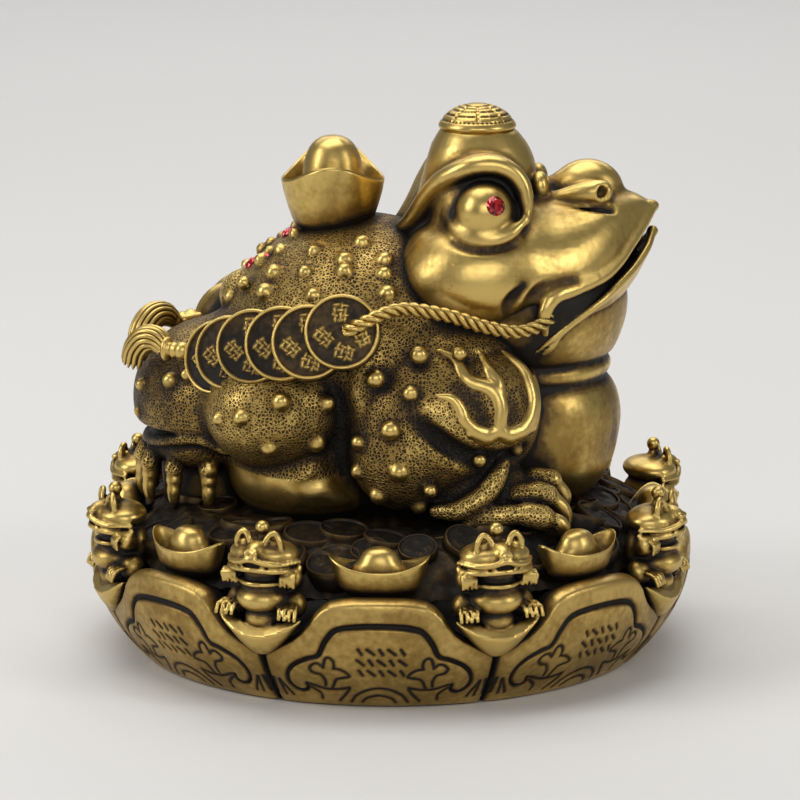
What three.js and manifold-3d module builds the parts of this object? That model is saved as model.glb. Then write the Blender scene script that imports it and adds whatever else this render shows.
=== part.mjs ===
// Money toad figure: a three-legged brass toad on a round lotus base, an ingot on its back and
// red faceted stones in its eyes and along its back.
// Millimetres, +Z up. The toad looks along +X. The origin is the middle of the base's underside.

import * as THREE from 'three';
import { mergeVertices } from 'three/addons/utils/BufferGeometryUtils.js';
import Module from 'manifold-3d';

const wasm = await Module();
wasm.setup();

// Driving dimensions of the base
const BASE_RADIUS = 108;
const FOOT_RADIUS = 90;
const PETAL_HEIGHT = 42;
const PETAL_DIP = 22;
const PETAL_COUNT = 8;
const PETAL_START = -2.2;
const PETAL_BAND = 8;
const PETAL_RELIEF = 1.2;
const JOINT_GROOVE = 2.4;
const BED_HEIGHT = 55;
const BED_RADIUS = 80;
const LEDGE_HEIGHT = 40;
const LEDGE_WIDTH = 9;
const RIM_TOAD_HEIGHT = 40;
const RIM_TOAD_DROP = 12;
const RIM_INGOT_LENGTH = 35;

// Driving dimensions of the toad, its ingot and its stones
const TOAD_HEIGHT = 142;
const COIN_DIAMETER = 27.4;
const COIN_RELIEF = 1.2;
const COIN_DEPTH = 13;
const COIN_COUNT = 6;
const CORD_DIAMETER = 4.2;
const WART_RADIUS = 3.2;
const FLAME_RELIEF = 2.2;
const FLAME_ROOT = 7;
const INGOT_WIDTH = 37.2;
const INGOT_HEIGHT = 35;
const INGOT_FOOT_WIDTH = 21;
const INGOT_SEAT = 95.5;
const EYE_GEM_DIAMETER = 7;
const BACK_GEM_DIAMETER = 6.2;

// Clearances between castings, and between a stone and its pocket
const SEAT_GAP = 0.3;
const STONE_GAP = 0.3;

// The toad is carved 142 tall above its seat, then brought to its height
const carve = TOAD_HEIGHT / 142;
const seatLevel = BED_HEIGHT + SEAT_GAP;

const brass = { color: 0xb8923f, roughness: 0.34, metalness: 1 };
const darkBrass = { color: 0x8e6f32, roughness: 0.42, metalness: 1 };
const redGlass = { color: 0xc01020, roughness: 0.08, metalness: 0 };

const sides = [-1, 1];
const rad = THREE.MathUtils.degToRad;
const upAxis = new THREE.Vector3(0, 0, 1);

// A closed three.js geometry as a solid
function solid(geometry) {
  const bare = new THREE.BufferGeometry();
  bare.setAttribute('position', geometry.getAttribute('position').clone());
  if (geometry.index) bare.setIndex(geometry.index.clone());
  const merged = mergeVertices(bare, 1e-4);
  const index = merged.index.array;
  const faces = [];
  for (let i = 0; i < index.length; i += 3) {
    const [a, b, c] = [index[i], index[i + 1], index[i + 2]];
    if (a !== b && b !== c && c !== a) faces.push(a, b, c);
  }
  return new wasm.Manifold(new wasm.Mesh({
    numProp: 3,
    vertProperties: new Float32Array(merged.getAttribute('position').array),
    triVerts: new Uint32Array(faces),
  }));
}

function join(solids) {
  return solids.reduce((whole, next) => whole.add(next));
}

function namedMesh(name, form, finish) {
  const mesh = form.getMesh();
  const geometry = new THREE.BufferGeometry();
  geometry.setAttribute('position', new THREE.BufferAttribute(new Float32Array(mesh.vertProperties), 3));
  geometry.setIndex(new THREE.BufferAttribute(new Uint32Array(mesh.triVerts), 1));
  geometry.computeVertexNormals();
  const result = new THREE.Mesh(geometry, new THREE.MeshStandardMaterial(finish));
  result.name = name;
  return result;
}

// Turns a geometry made along +Z to a direction, then carries it to a point
function aim(geometry, direction, point) {
  const turn = new THREE.Quaternion().setFromUnitVectors(upAxis, direction.clone().normalize());
  geometry.applyQuaternion(turn);
  geometry.translate(point.x, point.y, point.z);
  return geometry;
}

// A closed form turned about +Z from its profile of [radius, height] pairs
function turned(profile, segments) {
  const points = profile.map(([radius, height]) => new THREE.Vector2(radius, height));
  const geometry = new THREE.LatheGeometry(points, segments);
  geometry.rotateX(Math.PI / 2);
  return geometry;
}

function ellipsoid([x, y, z], [rx, ry, rz], around = 10, down = 6) {
  const geometry = new THREE.SphereGeometry(1, around, down);
  geometry.rotateX(Math.PI / 2);
  geometry.scale(rx, ry, rz);
  geometry.translate(x, y, z);
  return geometry;
}

// A small rounded lump with few faces, its corners standing a little past its radius
function pebble([x, y, z], radius) {
  const geometry = new THREE.OctahedronGeometry(radius * 1.2, 0);
  geometry.translate(x, y, z);
  return geometry;
}

// A limb or finger with round ends, from one [x, y, z, radius] to another
function capsule([ax, ay, az, ar], [bx, by, bz, br], around = 5) {
  const start = new THREE.Vector3(ax, ay, az);
  const end = new THREE.Vector3(bx, by, bz);
  const length = start.distanceTo(end);
  const profile = [[0, -ar], [ar, 0], [br, length], [0, length + br]];
  return aim(turned(profile, around), end.clone().sub(start), start);
}

// A round bar along a smooth route of [x, y, z] points
function bar(route, width, depth, steps, around = 6) {
  const section = new THREE.Shape();
  for (let i = 0; i < around; i += 1) {
    const angle = (i / around) * 2 * Math.PI;
    const place = [(Math.cos(angle) * width) / 2, (Math.sin(angle) * depth) / 2];
    if (i === 0) section.moveTo(...place);
    else section.lineTo(...place);
  }
  section.closePath();
  const extrudePath = new THREE.CatmullRomCurve3(route.map((p) => new THREE.Vector3(...p)));
  return new THREE.ExtrudeGeometry(section, { extrudePath, steps });
}

// The profile of a lathe with rings of unit radius one apart, closed by a point at each end
function unitRings(count) {
  return Array.from({ length: count }, (_, i) => new THREE.Vector2(i === 0 || i === count - 1 ? 0 : 1, i));
}

// A form that runs along X through stations of [x, half width, top, widest height, underside]
function loft(stations, around) {
  const geometry = new THREE.LatheGeometry(unitRings(stations.length), around);
  const position = geometry.getAttribute('position');
  for (let i = 0; i < position.count; i += 1) {
    const [x, halfWidth, top, widest, under] = stations[Math.round(position.getY(i))];
    const rise = position.getX(i);
    const height = widest + rise * (rise > 0 ? top - widest : widest - under);
    position.setXYZ(i, x, position.getZ(i) * halfWidth, height);
  }
  return geometry;
}

// A form that rises along Z through levels of [z, half width along X, half depth along Y]
function stack(levels, around) {
  const geometry = new THREE.LatheGeometry(unitRings(levels.length), around);
  geometry.rotateX(Math.PI / 2);
  const position = geometry.getAttribute('position');
  for (let i = 0; i < position.count; i += 1) {
    const [z, halfWidth, halfDepth] = levels[Math.round(position.getZ(i))];
    position.setXYZ(i, position.getX(i) * halfWidth, position.getY(i) * halfDepth, z);
  }
  return geometry;
}

// The toad's masses as [centre, radii], in carved units above the seat; y is given for the +Y side
const back = [[-10, 0, 46], [54, 58, 56]];
const rump = [[-66, 0, 36], [27, 36, 27]];
const flank = [[-40, 36, 39], [26, 26, 22]];
const elbow = [[14, 42, 36], [30, 25, 28]];
const upperArm = [[31, 38, 38], [22, 24, 25]];
const forearm = [[30, 47, 13], [23, 15, 12]];

function onSide([[x, y, z], radii], side) {
  return [[x, y * side, z], radii];
}

// Where a line along Y meets the outside of a mass, for a given x and z
function sideSurface([[cx, cy, cz], [rx, ry, rz]], x, z) {
  const left = 1 - ((x - cx) / rx) ** 2 - ((z - cz) / rz) ** 2;
  return cy + ry * Math.sqrt(Math.max(left, 0));
}

// The top of a mass and its outward direction there, for a given x and y
function topSurface([[cx, cy, cz], [rx, ry, rz]], x, y) {
  const left = 1 - ((x - cx) / rx) ** 2 - ((y - cy) / ry) ** 2;
  const z = cz + rz * Math.sqrt(Math.max(left, 0));
  const outward = new THREE.Vector3((x - cx) / rx ** 2, (y - cy) / ry ** 2, (z - cz) / rz ** 2).normalize();
  return { point: new THREE.Vector3(x, y, z), outward };
}

// Base: the wall of petals, the bed, the small toads and the small ingots
const petalAngle = 360 / PETAL_COUNT;
const footShare = FOOT_RADIUS / BASE_RADIUS;

// The wall's radius: it rounds out from the foot to its full width below the petal tops
function wallRadius(height) {
  const share = THREE.MathUtils.clamp(height / (PETAL_HEIGHT * 0.9), 0, 1);
  return BASE_RADIUS * (footShare + (1 - footShare) * (1 - (1 - share) ** 2.2));
}

// The height of a petal's outline, from its flat crown down its shoulder to the joint with the next
function petalTop(share) {
  const fall = THREE.MathUtils.smoothstep(Math.abs(share), 0.36, 0.84);
  return PETAL_HEIGHT - (PETAL_HEIGHT - PETAL_DIP) * fall;
}

function petalWall() {
  const columnsPerPetal = 8;
  const rings = [
    { axis: true, height: () => 0, out: 0 },
    { height: () => 0, out: 0 },
    { height: (inner) => inner * 0.5, out: 0 },
    { height: (inner) => inner, out: 0 },
    { height: (inner) => inner + 1.2, out: PETAL_RELIEF },
    { height: (inner, outer) => outer - 1, out: PETAL_RELIEF },
    { height: (inner, outer) => outer, out: 0 },
    { height: (inner, outer) => outer - 0.6, out: -LEDGE_WIDTH },
    { axis: true, height: () => PETAL_DIP / 2, out: 0 },
  ];
  const profile = rings.map((ring, i) => new THREE.Vector2(ring.axis ? 0 : 1, i));
  const columns = PETAL_COUNT * columnsPerPetal;
  const geometry = new THREE.LatheGeometry(profile, columns);
  const position = geometry.getAttribute('position');
  for (let i = 0; i < position.count; i += 1) {
    const ring = rings[Math.round(position.getY(i))];
    const turn = Math.atan2(position.getX(i), position.getZ(i));
    const column = Math.round((turn / (2 * Math.PI)) * columns);
    const share = ((column + columnsPerPetal * 100) % columnsPerPetal) / (columnsPerPetal / 2) - 1;
    const outer = petalTop(share);
    const height = ring.height(outer - PETAL_BAND, outer);
    const atJoint = Math.abs(share) > 0.99;
    const inSideBand = Math.abs(share) > 0.8 && height > 1 && ring.out >= 0;
    const relief = inSideBand ? PETAL_RELIEF : ring.out;
    const radius = ring.axis ? 0 : wallRadius(height) + relief - (atJoint && height > 1 ? JOINT_GROOVE : 0);
    const angle = (column / columns) * 2 * Math.PI + rad(PETAL_START - petalAngle / 2);
    position.setXYZ(i, radius * Math.sin(angle), -radius * Math.cos(angle), height);
  }
  return geometry;
}

// The bed, grown by a clearance when it cuts what sits on it
function bedForm(clearance) {
  const ledge = BASE_RADIUS - LEDGE_WIDTH;
  return solid(turned([
    [0, PETAL_DIP / 2],
    [ledge - 6 + clearance, PETAL_DIP / 2],
    [ledge + clearance, LEDGE_HEIGHT + clearance],
    [BED_RADIUS + 8 + clearance, LEDGE_HEIGHT + (BED_HEIGHT - LEDGE_HEIGHT) * 0.55 + clearance],
    [BED_RADIUS + clearance, BED_HEIGHT + clearance],
    [0, BED_HEIGHT + clearance],
  ], 24));
}

// A small toad that squats in its leaf cup against the ledge; carved 40 tall facing -Y, then turned
function rimToad(angle) {
  const scale = RIM_TOAD_HEIGHT / 40;
  const radius = BASE_RADIUS - 4;
  const cupBellyAndHead = stack([
    [-6, 0, 0], [5, 13.5, 8.5], [6, 6.6, 6.4], [10, 6, 6], [14.5, 9.8, 9], [20.5, 6.8, 6.8],
    [25, 13.8, 9.4], [31, 8, 7.4], [31.4, 0, 0],
  ], 6);
  const pearl = pebble([0, 1, 33], 2.8);
  const hands = sides.map((side) => pebble([12.6 * side, 1, 18], 4.8));
  const forms = [cupBellyAndHead, pearl, ...hands];
  const seat = LEDGE_HEIGHT - RIM_TOAD_DROP;
  return forms.map((form) => {
    form.scale(scale, scale, scale);
    form.translate(0, -radius, seat);
    form.rotateZ(rad(angle));
    return solid(form);
  });
}

// A boat-shaped ingot of unit width and height, its ends raised, with a dome in the middle
function ingotForm({ width, length, height, footShare: foot, lift, around, plain }) {
  const half = width / 2;
  const profile = [
    [0, 0], [foot, 0], [foot + (1 - foot) * 0.62, 0.26], [1, 0.53],
    [0.93, 0.55], [0.64, 0.5], [0.42, 0.88], [0, 1],
  ].filter((point, i) => !plain || (i !== 2 && i !== 4));
  const geometry = turned(profile, around);
  const position = geometry.getAttribute('position');
  for (let i = 0; i < position.count; i += 1) {
    const [x, y, z] = [position.getX(i), position.getY(i), position.getZ(i)];
    const reach = Math.hypot(x, y);
    const toEnd = reach > 0.9 ? (y / reach) ** 2 : 0;
    position.setXYZ(i, x * half, (y * length) / 2, (z + lift * toEnd) * height);
  }
  return geometry;
}

function rimIngot(angle) {
  const ingot = ingotForm({
    width: RIM_INGOT_LENGTH * 0.52,
    length: RIM_INGOT_LENGTH,
    height: RIM_INGOT_LENGTH * 0.46,
    footShare: 0.62,
    lift: 0.3,
    around: 6,
    plain: true,
  });
  ingot.rotateZ(Math.PI / 2);
  ingot.translate(0, -(BASE_RADIUS - LEDGE_WIDTH - 3.5), LEDGE_HEIGHT + 2);
  ingot.rotateZ(rad(angle));
  return solid(ingot);
}

function lotusBase() {
  const forms = [solid(petalWall()), bedForm(0)];
  for (let i = 0; i < PETAL_COUNT; i += 1) {
    const petal = PETAL_START + i * petalAngle;
    forms.push(rimIngot(petal));
    forms.push(...rimToad(petal + petalAngle / 2));
  }
  return join(forms);
}

// Toad: every form below is in carved units above the seat, brought to size in toadForm
function headForms() {
  const upperHead = loft([
    [6, 0, 87, 87, 87], [8.5, 27, 99, 87, 75], [20, 44, 107, 86, 65], [35, 49, 111.5, 86, 63],
    [48, 48, 110.5, 84, 68], [56, 45, 110, 80, 76], [66, 39, 110, 82.5, 80.5], [77, 30, 111, 87.5, 86.5],
    [87, 18, 109.8, 94.5, 94], [92, 9.5, 107, 99, 98.5], [94.8, 0, 104.5, 104.5, 104.5],
  ], 12);
  const jaw = loft([
    [30, 0, 64, 64, 64], [48, 45.5, 72, 70, 58], [66, 37.5, 78.5, 77.5, 68],
    [77, 29, 84, 83, 75], [87, 17.5, 91, 90, 84], [94.4, 0, 95.5, 95.5, 95.5],
  ], 10);
  const crown = turned([
    [0, 95], [20.5, 95], [20, 115], [17.4, 129], [14.6, 132], [14.6, 135], [10.4, 138.6], [0, 142],
  ], 11);
  crown.translate(31.6, 0, 0);
  const throat = stack([
    [-4, 0, 0], [-3.9, 22, 22], [12, 34.5, 36], [28, 37.5, 38.5], [41, 35, 35.5], [52, 31, 33],
    [58, 37, 39], [70, 40.4, 43.5], [80, 36, 40], [86, 0, 0],
  ], 12);
  throat.translate(46, 0, 0);
  const forms = [upperHead, jaw, crown, throat, ellipsoid([32, 0, 108], [17, 37.5, 15], 8, 4)];
  for (const side of sides) {
    const eye = [eyeCentre.x, eyeCentre.y * side, eyeCentre.z];
    forms.push(ellipsoid(eye, [eyeRadius, eyeRadius, eyeRadius], 8, 5));
    forms.push(browArch(side));
    forms.push(bar([[21, 38 * side, 102.5], [33, 43 * side, 99], [45, 39 * side, 103]], 5, 5, 3, 4));
    forms.push(capsule([56, 9.5 * side, 107.4, 4.6], [70, 10.5 * side, 111, 6]));
    forms.push(ellipsoid([72, 11 * side, 111.8], [8.6, 7, 7.6], 7, 4));
    forms.push(pebble([52.4, 11 * side, 113.5], 5.4));
  }
  return forms;
}

// The brow: an arched band over the eye that stands out like a visor
function browArch(side) {
  const outer = [[4, 99], [12, 113], [21, 124.5], [28, 129.6], [35, 130.8], [43, 127.4], [50.6, 111]];
  const middle = new THREE.Vector2(31, 104);
  const bandShare = 0.86;
  const shape = new THREE.Shape();
  shape.moveTo(...outer[0]);
  shape.splineThru(outer.slice(1).map((p) => new THREE.Vector2(...p)));
  const inner = outer.map(([x, z]) => new THREE.Vector2(x, z).lerp(middle, 1 - bandShare)).reverse();
  shape.lineTo(inner[0].x, inner[0].y);
  shape.splineThru(inner.slice(1));
  shape.closePath();
  const depth = 22;
  const visor = new THREE.ExtrudeGeometry(shape, { depth, bevelEnabled: false, curveSegments: 1 });
  visor.rotateX(Math.PI / 2);
  visor.translate(0, side > 0 ? 16 + depth : -16, 0);
  return visor;
}

// The coins of one string fan back from the shoulder to the rump, each tucked under the one in front
// and running into the body behind it
function coinString(side) {
  const route = new THREE.CatmullRomCurve3([
    new THREE.Vector3(-18, 57 * side, 70),
    new THREE.Vector3(-41, 51.5 * side, 67.5),
    new THREE.Vector3(-62, 36 * side, 61),
  ]);
  const forms = [];
  for (let i = 0; i < COIN_COUNT; i += 1) {
    const share = i / (COIN_COUNT - 1);
    const radius = COIN_DIAMETER / 2;
    const coin = new THREE.CylinderGeometry(radius, radius, COIN_DEPTH, 8);
    coin.rotateX(Math.PI / 2);
    coin.translate(0, 0, COIN_RELIEF - COIN_DEPTH / 2);
    const yaw = rad(4 + 46 * share ** 1.6);
    const outward = new THREE.Vector3(-Math.sin(yaw), Math.cos(yaw) * side, 0.2);
    forms.push(aim(coin, outward, route.getPointAt(share)));
  }
  return forms;
}

// The cord from the coins to the corner of the mouth, and the tassel behind them
const cordRoute = [
  [-16, 55, 71], [-6, 58, 76], [4, 57, 78.5], [20, 56, 75.5], [33, 53, 71], [46, 49, 69], [57, 43, 71.5],
];

function coinTrim(side) {
  return [
    bar(cordRoute.map(([x, y, z]) => [x, y * side, z]), CORD_DIAMETER, CORD_DIAMETER, 5, 4),
    capsule([-62, 26 * side, 57, 7], [-76, 23 * side, 58.5, 5.5]),
    capsule([-80, 21.5 * side, 58, 8], [-92, 15 * side, 53, 3.6], 6),
  ];
}

// The flames on the upper arm, a band with tongues that follows the arm's surface
function flames(side) {
  const outline = [
    [15, 49.5], [22, 48], [28, 35], [34, 33], [40, 36.5], [45, 33], [52, 39],
    [49, 57], [48, 44], [46.5, 54], [37.6, 65], [42, 53],
    [38.7, 43], [37.4, 55.5], [28.2, 66], [33, 54],
    [31.6, 46], [26.8, 55.8], [17.6, 65.4], [24.4, 51], [27, 45], [21.6, 51],
  ];
  const shape = new THREE.Shape(outline.map(([x, z]) => new THREE.Vector2(x, z)));
  const geometry = new THREE.ExtrudeGeometry(shape, { depth: 1, bevelEnabled: false });
  const position = geometry.getAttribute('position');
  const [[cx, , cz], [rx, , rz]] = upperArm;
  const edgeReach = 0.93;
  for (let i = 0; i < position.count; i += 1) {
    const [x, z] = [position.getX(i), position.getY(i)];
    const reach = Math.hypot((x - cx) / rx, (z - cz) / rz);
    const pull = Math.max(reach / edgeReach, 1);
    const surface = sideSurface(upperArm, cx + (x - cx) / pull, cz + (z - cz) / pull);
    const isFace = position.getZ(i) > 0.5;
    position.setXYZ(i, x, surface + (isFace ? FLAME_RELIEF : -FLAME_ROOT), z);
  }
  if (side < 0) geometry.scale(1, -1, 1);
  return side < 0 ? geometry : flipped(geometry);
}

// The same surface with its faces turned the other way
function flipped(geometry) {
  const loose = geometry.index ? geometry.toNonIndexed() : geometry;
  const position = loose.getAttribute('position');
  for (let i = 0; i < position.count; i += 3) {
    const first = new THREE.Vector3().fromBufferAttribute(position, i);
    const second = new THREE.Vector3().fromBufferAttribute(position, i + 1);
    position.setXYZ(i, second.x, second.y, second.z);
    position.setXYZ(i + 1, first.x, first.y, first.z);
  }
  return loose;
}

function limbForms(side) {
  const forms = [flank, elbow, upperArm, forearm].map((mass) => ellipsoid(...onSide(mass, side), 9, 5));
  forms.push(ellipsoid([38, 51 * side, 4], [14, 14, 9], 8, 4));
  forms.push(flames(side));
  const frontToes = [
    [[50, 41, 14, 5.4], [60.5, 40.5, 7, 2.6]],
    [[48, 51, 9.5, 5.4], [61.5, 55, 2, 2.6]],
    [[44, 60, 5, 5.4], [54.5, 61.5, -1, 2.6]],
    [[34, 64, 4, 5.4], [42, 72, -3, 2.6]],
  ];
  for (const [knuckle, tip] of frontToes) {
    const [k, t] = [knuckle, tip].map(([x, y, z, radius]) => [x, y * side, z, radius]);
    forms.push(capsule(k, t));
  }
  return forms;
}

// The single hind leg spreads under the rump, its toes in a fan
function hindLegForms() {
  const forms = [
    ellipsoid(...rump, 12, 6),
    ellipsoid([-74, 0, 24], [20.5, 34, 8], 12, 4),
    turned([[0, -4], [20, -4], [24, 16], [0, 20]], 12).translate(-65, 0, 0),
  ];
  const toeCount = 7;
  for (let i = 0; i < toeCount; i += 1) {
    const angle = rad(-91 + (182 * i) / (toeCount - 1));
    const [along, across] = [-Math.cos(angle), Math.sin(angle)];
    const toePoint = (reach, z, radius) => [-65 + reach * along, reach * across, z, radius];
    const drop = 4 + 3.5 * Math.cos(angle);
    forms.push(capsule(toePoint(25, 17, 4.2), toePoint(25.5, drop, 2.8)));
  }
  return forms;
}

function wartForms() {
  const places = [
    [back, [[-38, 90], [-14, 92], [-2, 84], [-30, 84]]],
    [flank, [[-38, 47], [-52, 40], [-26, 30]]],
    [elbow, [[9, 60], [0, 46], [-10, 32], [5, 27]]],
    [rump, [[-80, 46]]],
  ];
  const forms = [];
  for (const [mass, list] of places) {
    for (const [x, z] of list) {
      for (const side of sides) {
        forms.push(pebble([x, sideSurface(mass, x, z) * side, z], WART_RADIUS / carve));
      }
    }
  }
  return forms;
}

// The ingot stands on the back at this carved point
const ingotPlace = { x: -20.6, z: INGOT_SEAT };
const ingotLength = INGOT_WIDTH * 1.14;
const ingotFoot = INGOT_FOOT_WIDTH / INGOT_WIDTH;

// The stones: carved places, their outward directions and sizes
const eyeCentre = new THREE.Vector3(33, 37, 109.2);
const eyeRadius = 9.6;
const backGemPlaces = [[-36.5, 0.5], [-45, -10], [-50, 1], [-43, 12], [-32, 21], [-20, 27], [-8, 32]];

function gemSeats() {
  const seats = [];
  for (const side of sides) {
    const outward = new THREE.Vector3(0.36, 0.84 * side, 0.3).normalize();
    const eye = eyeCentre.clone().multiply(new THREE.Vector3(1, side, 1));
    const name = side < 0 ? 'eye_gem_right' : 'eye_gem_left';
    seats.push({ name, point: eye.addScaledVector(outward, eyeRadius), outward, diameter: EYE_GEM_DIAMETER });
  }
  backGemPlaces.forEach(([x, y], i) => {
    seats.push({ name: `back_gem_${i + 1}`, ...topSurface(back, x, y), diameter: BACK_GEM_DIAMETER });
  });
  return seats.map((seat) => ({
    ...seat,
    point: seat.point.clone().multiplyScalar(carve).add(new THREE.Vector3(0, 0, seatLevel)),
  }));
}

// A stone with a flat table, or the pocket it sits in when grown by a clearance
function gemForm({ point, outward, diameter }, clearance) {
  const r = diameter / 2 + clearance;
  const crown = diameter * 0.24;
  const depth = diameter * 0.26 + clearance;
  const profile = clearance > 0
    ? [[0, -depth], [r, 0], [r, crown + diameter], [0, crown + diameter]]
    : [[0, -depth], [r, 0.1], [r * 0.58, crown], [0, crown]];
  return aim(turned(profile, 6), outward, point);
}

// A form in carved units as a solid at its real size on the seat
function toadSolid(form) {
  form.scale(carve, carve, carve);
  form.translate(0, 0, seatLevel);
  return solid(form);
}

function toadBody(gems) {
  const carved = [
    ellipsoid(...back, 14, 9),
    ellipsoid([8, 0, 24], [40, 48, 44], 8, 5),
    ellipsoid([-28, 0, 20], [33, 54, 27], 12, 6),
    ellipsoid([20, 0, 60], [34, 53, 16], 10, 5),
    ellipsoid([-50, 0, 42], [27, 48, 25]),
    ellipsoid([-52, 0, 72.5], [9.6, 9.6, 9.6], 8, 5),
    ...headForms(),
    ...hindLegForms(),
    ...wartForms(),
  ];
  for (const side of sides) carved.push(...limbForms(side), ...coinString(side), ...coinTrim(side));
  const whole = join(carved.map(toadSolid));
  const pockets = gems.map((gem) => solid(gemForm(gem, STONE_GAP)));
  return whole.subtract(bedForm(SEAT_GAP)).subtract(backIngot(SEAT_GAP)).subtract(join(pockets));
}

// The ingot on the back, or its seat there when grown and sunk by a clearance
function backIngot(clearance) {
  const ingot = ingotForm({
    width: INGOT_WIDTH + 4 * clearance,
    length: ingotLength + 4 * clearance,
    height: INGOT_HEIGHT,
    footShare: ingotFoot,
    lift: 0.17,
    around: 18,
    plain: false,
  });
  ingot.translate(ingotPlace.x * carve, 0, ingotPlace.z * carve + seatLevel - clearance);
  return solid(ingot);
}

const gems = gemSeats();
const group = new THREE.Group();
group.add(namedMesh('lotus_base', lotusBase(), darkBrass));
group.add(namedMesh('toad', toadBody(gems), brass));
group.add(namedMesh('back_ingot', backIngot(0), brass));
for (const gem of gems) group.add(namedMesh(gem.name, solid(gemForm(gem, 0)), redGlass));

export default group;
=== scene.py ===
"""Looks of the money toad figure: sculpted brass, patina, stones, floor, lights and camera."""

import math

import bpy
import numpy as np
import openvdb
from mathutils import Euler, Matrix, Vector


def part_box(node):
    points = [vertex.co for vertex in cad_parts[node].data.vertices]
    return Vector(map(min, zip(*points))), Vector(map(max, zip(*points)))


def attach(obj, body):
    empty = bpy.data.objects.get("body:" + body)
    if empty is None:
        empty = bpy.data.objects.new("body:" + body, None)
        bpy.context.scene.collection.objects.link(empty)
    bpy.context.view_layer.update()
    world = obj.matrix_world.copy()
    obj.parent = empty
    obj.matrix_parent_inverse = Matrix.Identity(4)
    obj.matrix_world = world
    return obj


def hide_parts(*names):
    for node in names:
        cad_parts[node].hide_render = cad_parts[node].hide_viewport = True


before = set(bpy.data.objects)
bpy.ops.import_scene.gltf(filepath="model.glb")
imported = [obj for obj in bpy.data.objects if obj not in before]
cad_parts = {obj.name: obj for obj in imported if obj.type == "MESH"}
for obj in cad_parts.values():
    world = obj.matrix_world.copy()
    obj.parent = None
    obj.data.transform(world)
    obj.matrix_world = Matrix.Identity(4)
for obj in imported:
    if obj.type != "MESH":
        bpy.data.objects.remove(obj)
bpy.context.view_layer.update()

# Lengths are millimetres in the part's frame; forms of the toad are carved above its seat
MM = 0.001
SEAT = 55.3
LIFT = np.array((0, 0, SEAT))
SIDES = (-1, 1)
COARSE = 1.0
# Distances to a surface are kept only this near it
FAR = 6.0

# The base: its petals, wall and bed, and what sits on the rim; angles are degrees
PETALS = 8
HALF_PETAL = 180 / PETALS
PETAL_START = -2.2
PETAL_HEIGHT = 42
WALL_RADIUS = 108
WIDEST = 109.0
CARVED_RADIUS = 105
BED_LEVEL = 55
BED_EDGE = 80
RIM_TOAD_REACH = 104
RIM_INGOT_REACH = 95.5
RIM_INGOT_LEVEL = 42
RIM_INGOT_LENGTH = 35

# The crown's middle, and that of the hind foot, along X
CROWN_X = 31
HIND_FOOT_X = -65

# The toad's masses as in the part's solids: centre and radii, y for the left side
BACK = ((-10, 0, 46), (54, 58, 56))
RUMP = ((-66, 0, 36), (27, 36, 27))
FLANK = ((-40, 36, 39), (26, 26, 22))
ELBOW = ((14, 42, 36), (30, 25, 28))
UPPER_ARM = ((31, 38, 38), (22, 24, 25))
EYE = np.array((33, 37, 109.2))
EYE_RADIUS = 9.6
BACK_INGOT_PLACE = (-20.6, 0, 150.8)
EYE_GEM_DIAMETER = 7.0
BACK_GEM_DIAMETER = 6.2


# Curves and distances

def turns(count):
    """Even steps around a full turn."""
    return np.linspace(0, 2 * math.pi, count, endpoint=False)


def path_lengths(places):
    return np.r_[0, np.cumsum(np.linalg.norm(np.diff(places, axis=0), axis=1))]


def smooth_route(points, count):
    """Evenly spaced places on a smooth open curve through points; columns past the third follow along."""
    p = np.asarray(points, float)
    ends = np.vstack([2 * p[0] - p[1], p, 2 * p[-1] - p[-2]])
    t = np.linspace(0, 1, 12, endpoint=False)[:, None]
    dense = []
    for a, b, c, d in zip(ends, ends[1:], ends[2:], ends[3:]):
        bend = 2 * a - 5 * b + 4 * c - d + t * (3 * (b - c) + d - a)
        dense.append(b + 0.5 * t * (c - a + t * bend))
    dense = np.vstack([*dense, p[-1:]])
    along = path_lengths(dense[:, :3])
    at = np.linspace(0, along[-1], count)
    return np.stack([np.interp(at, along, column) for column in dense.T], 1)


def bell(x):
    """1 where x is 0, fading to 0 past 1."""
    return np.exp(-(x ** 2))


def smooth_min(a, b, soft):
    if soft <= 0:
        return np.minimum(a, b)
    near = np.maximum(soft - np.abs(a - b), 0) / soft
    return np.minimum(a, b) - near * near * soft * 0.25


def mirrored(points, side):
    """The same places on the toad's left (side 1) or right (side -1); y is given for the left."""
    p = np.array(points, float)
    p[..., 1] *= side
    return p


def swept(points, radius):
    """Places of [x, y, z] with one radius, or one for each."""
    p = np.asarray(points, float)
    return np.c_[p, np.broadcast_to(radius, len(p))]


def ring_places(centre, radius, thickness, count=48):
    angle = np.linspace(0, 2 * math.pi, count)
    x, y, z = centre
    return swept(np.c_[x + radius * np.cos(angle), y + radius * np.sin(angle), np.full(count, z)], thickness)


def line_distance(x, z, route):
    """How far each (x, z) is from a line through route's points, in its plane."""
    best = np.full(np.broadcast(x, z).shape, 1e3)
    for (ax, az), (bx, bz) in zip(route[:-1], route[1:]):
        dx, dz = bx - ax, bz - az
        t = np.clip(((x - ax) * dx + (z - az) * dz) / (dx * dx + dz * dz + 1e-9), 0, 1)
        best = np.minimum(best, np.hypot(x - ax - t * dx, z - az - t * dz))
    return best


def turned_about(vertices, degrees):
    """Points turned about the vertical through the middle."""
    a = math.radians(degrees)
    x, y, z = vertices.T
    return np.stack([x * math.cos(a) - y * math.sin(a), x * math.sin(a) + y * math.cos(a), z], 1)


def faced(vertices, outward, front="-Y", up="Z"):
    """Points turned so that their front looks outward."""
    turn = np.array(Vector(outward).normalized().to_track_quat(front, up).to_matrix())
    return vertices @ turn.T


# Fields of cells

def between_cells(field, at):
    """A field read at places between its cells."""
    at = np.clip(at, 0, np.array(field.shape) - 1.001)
    low = at.astype(int)
    share = at - low
    total = 0
    for corner in np.ndindex(2, 2, 2):
        weight = np.prod(np.where(corner, share, 1 - share), axis=1)
        total = total + weight * field[tuple((low + corner).T)]
    return total


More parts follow.
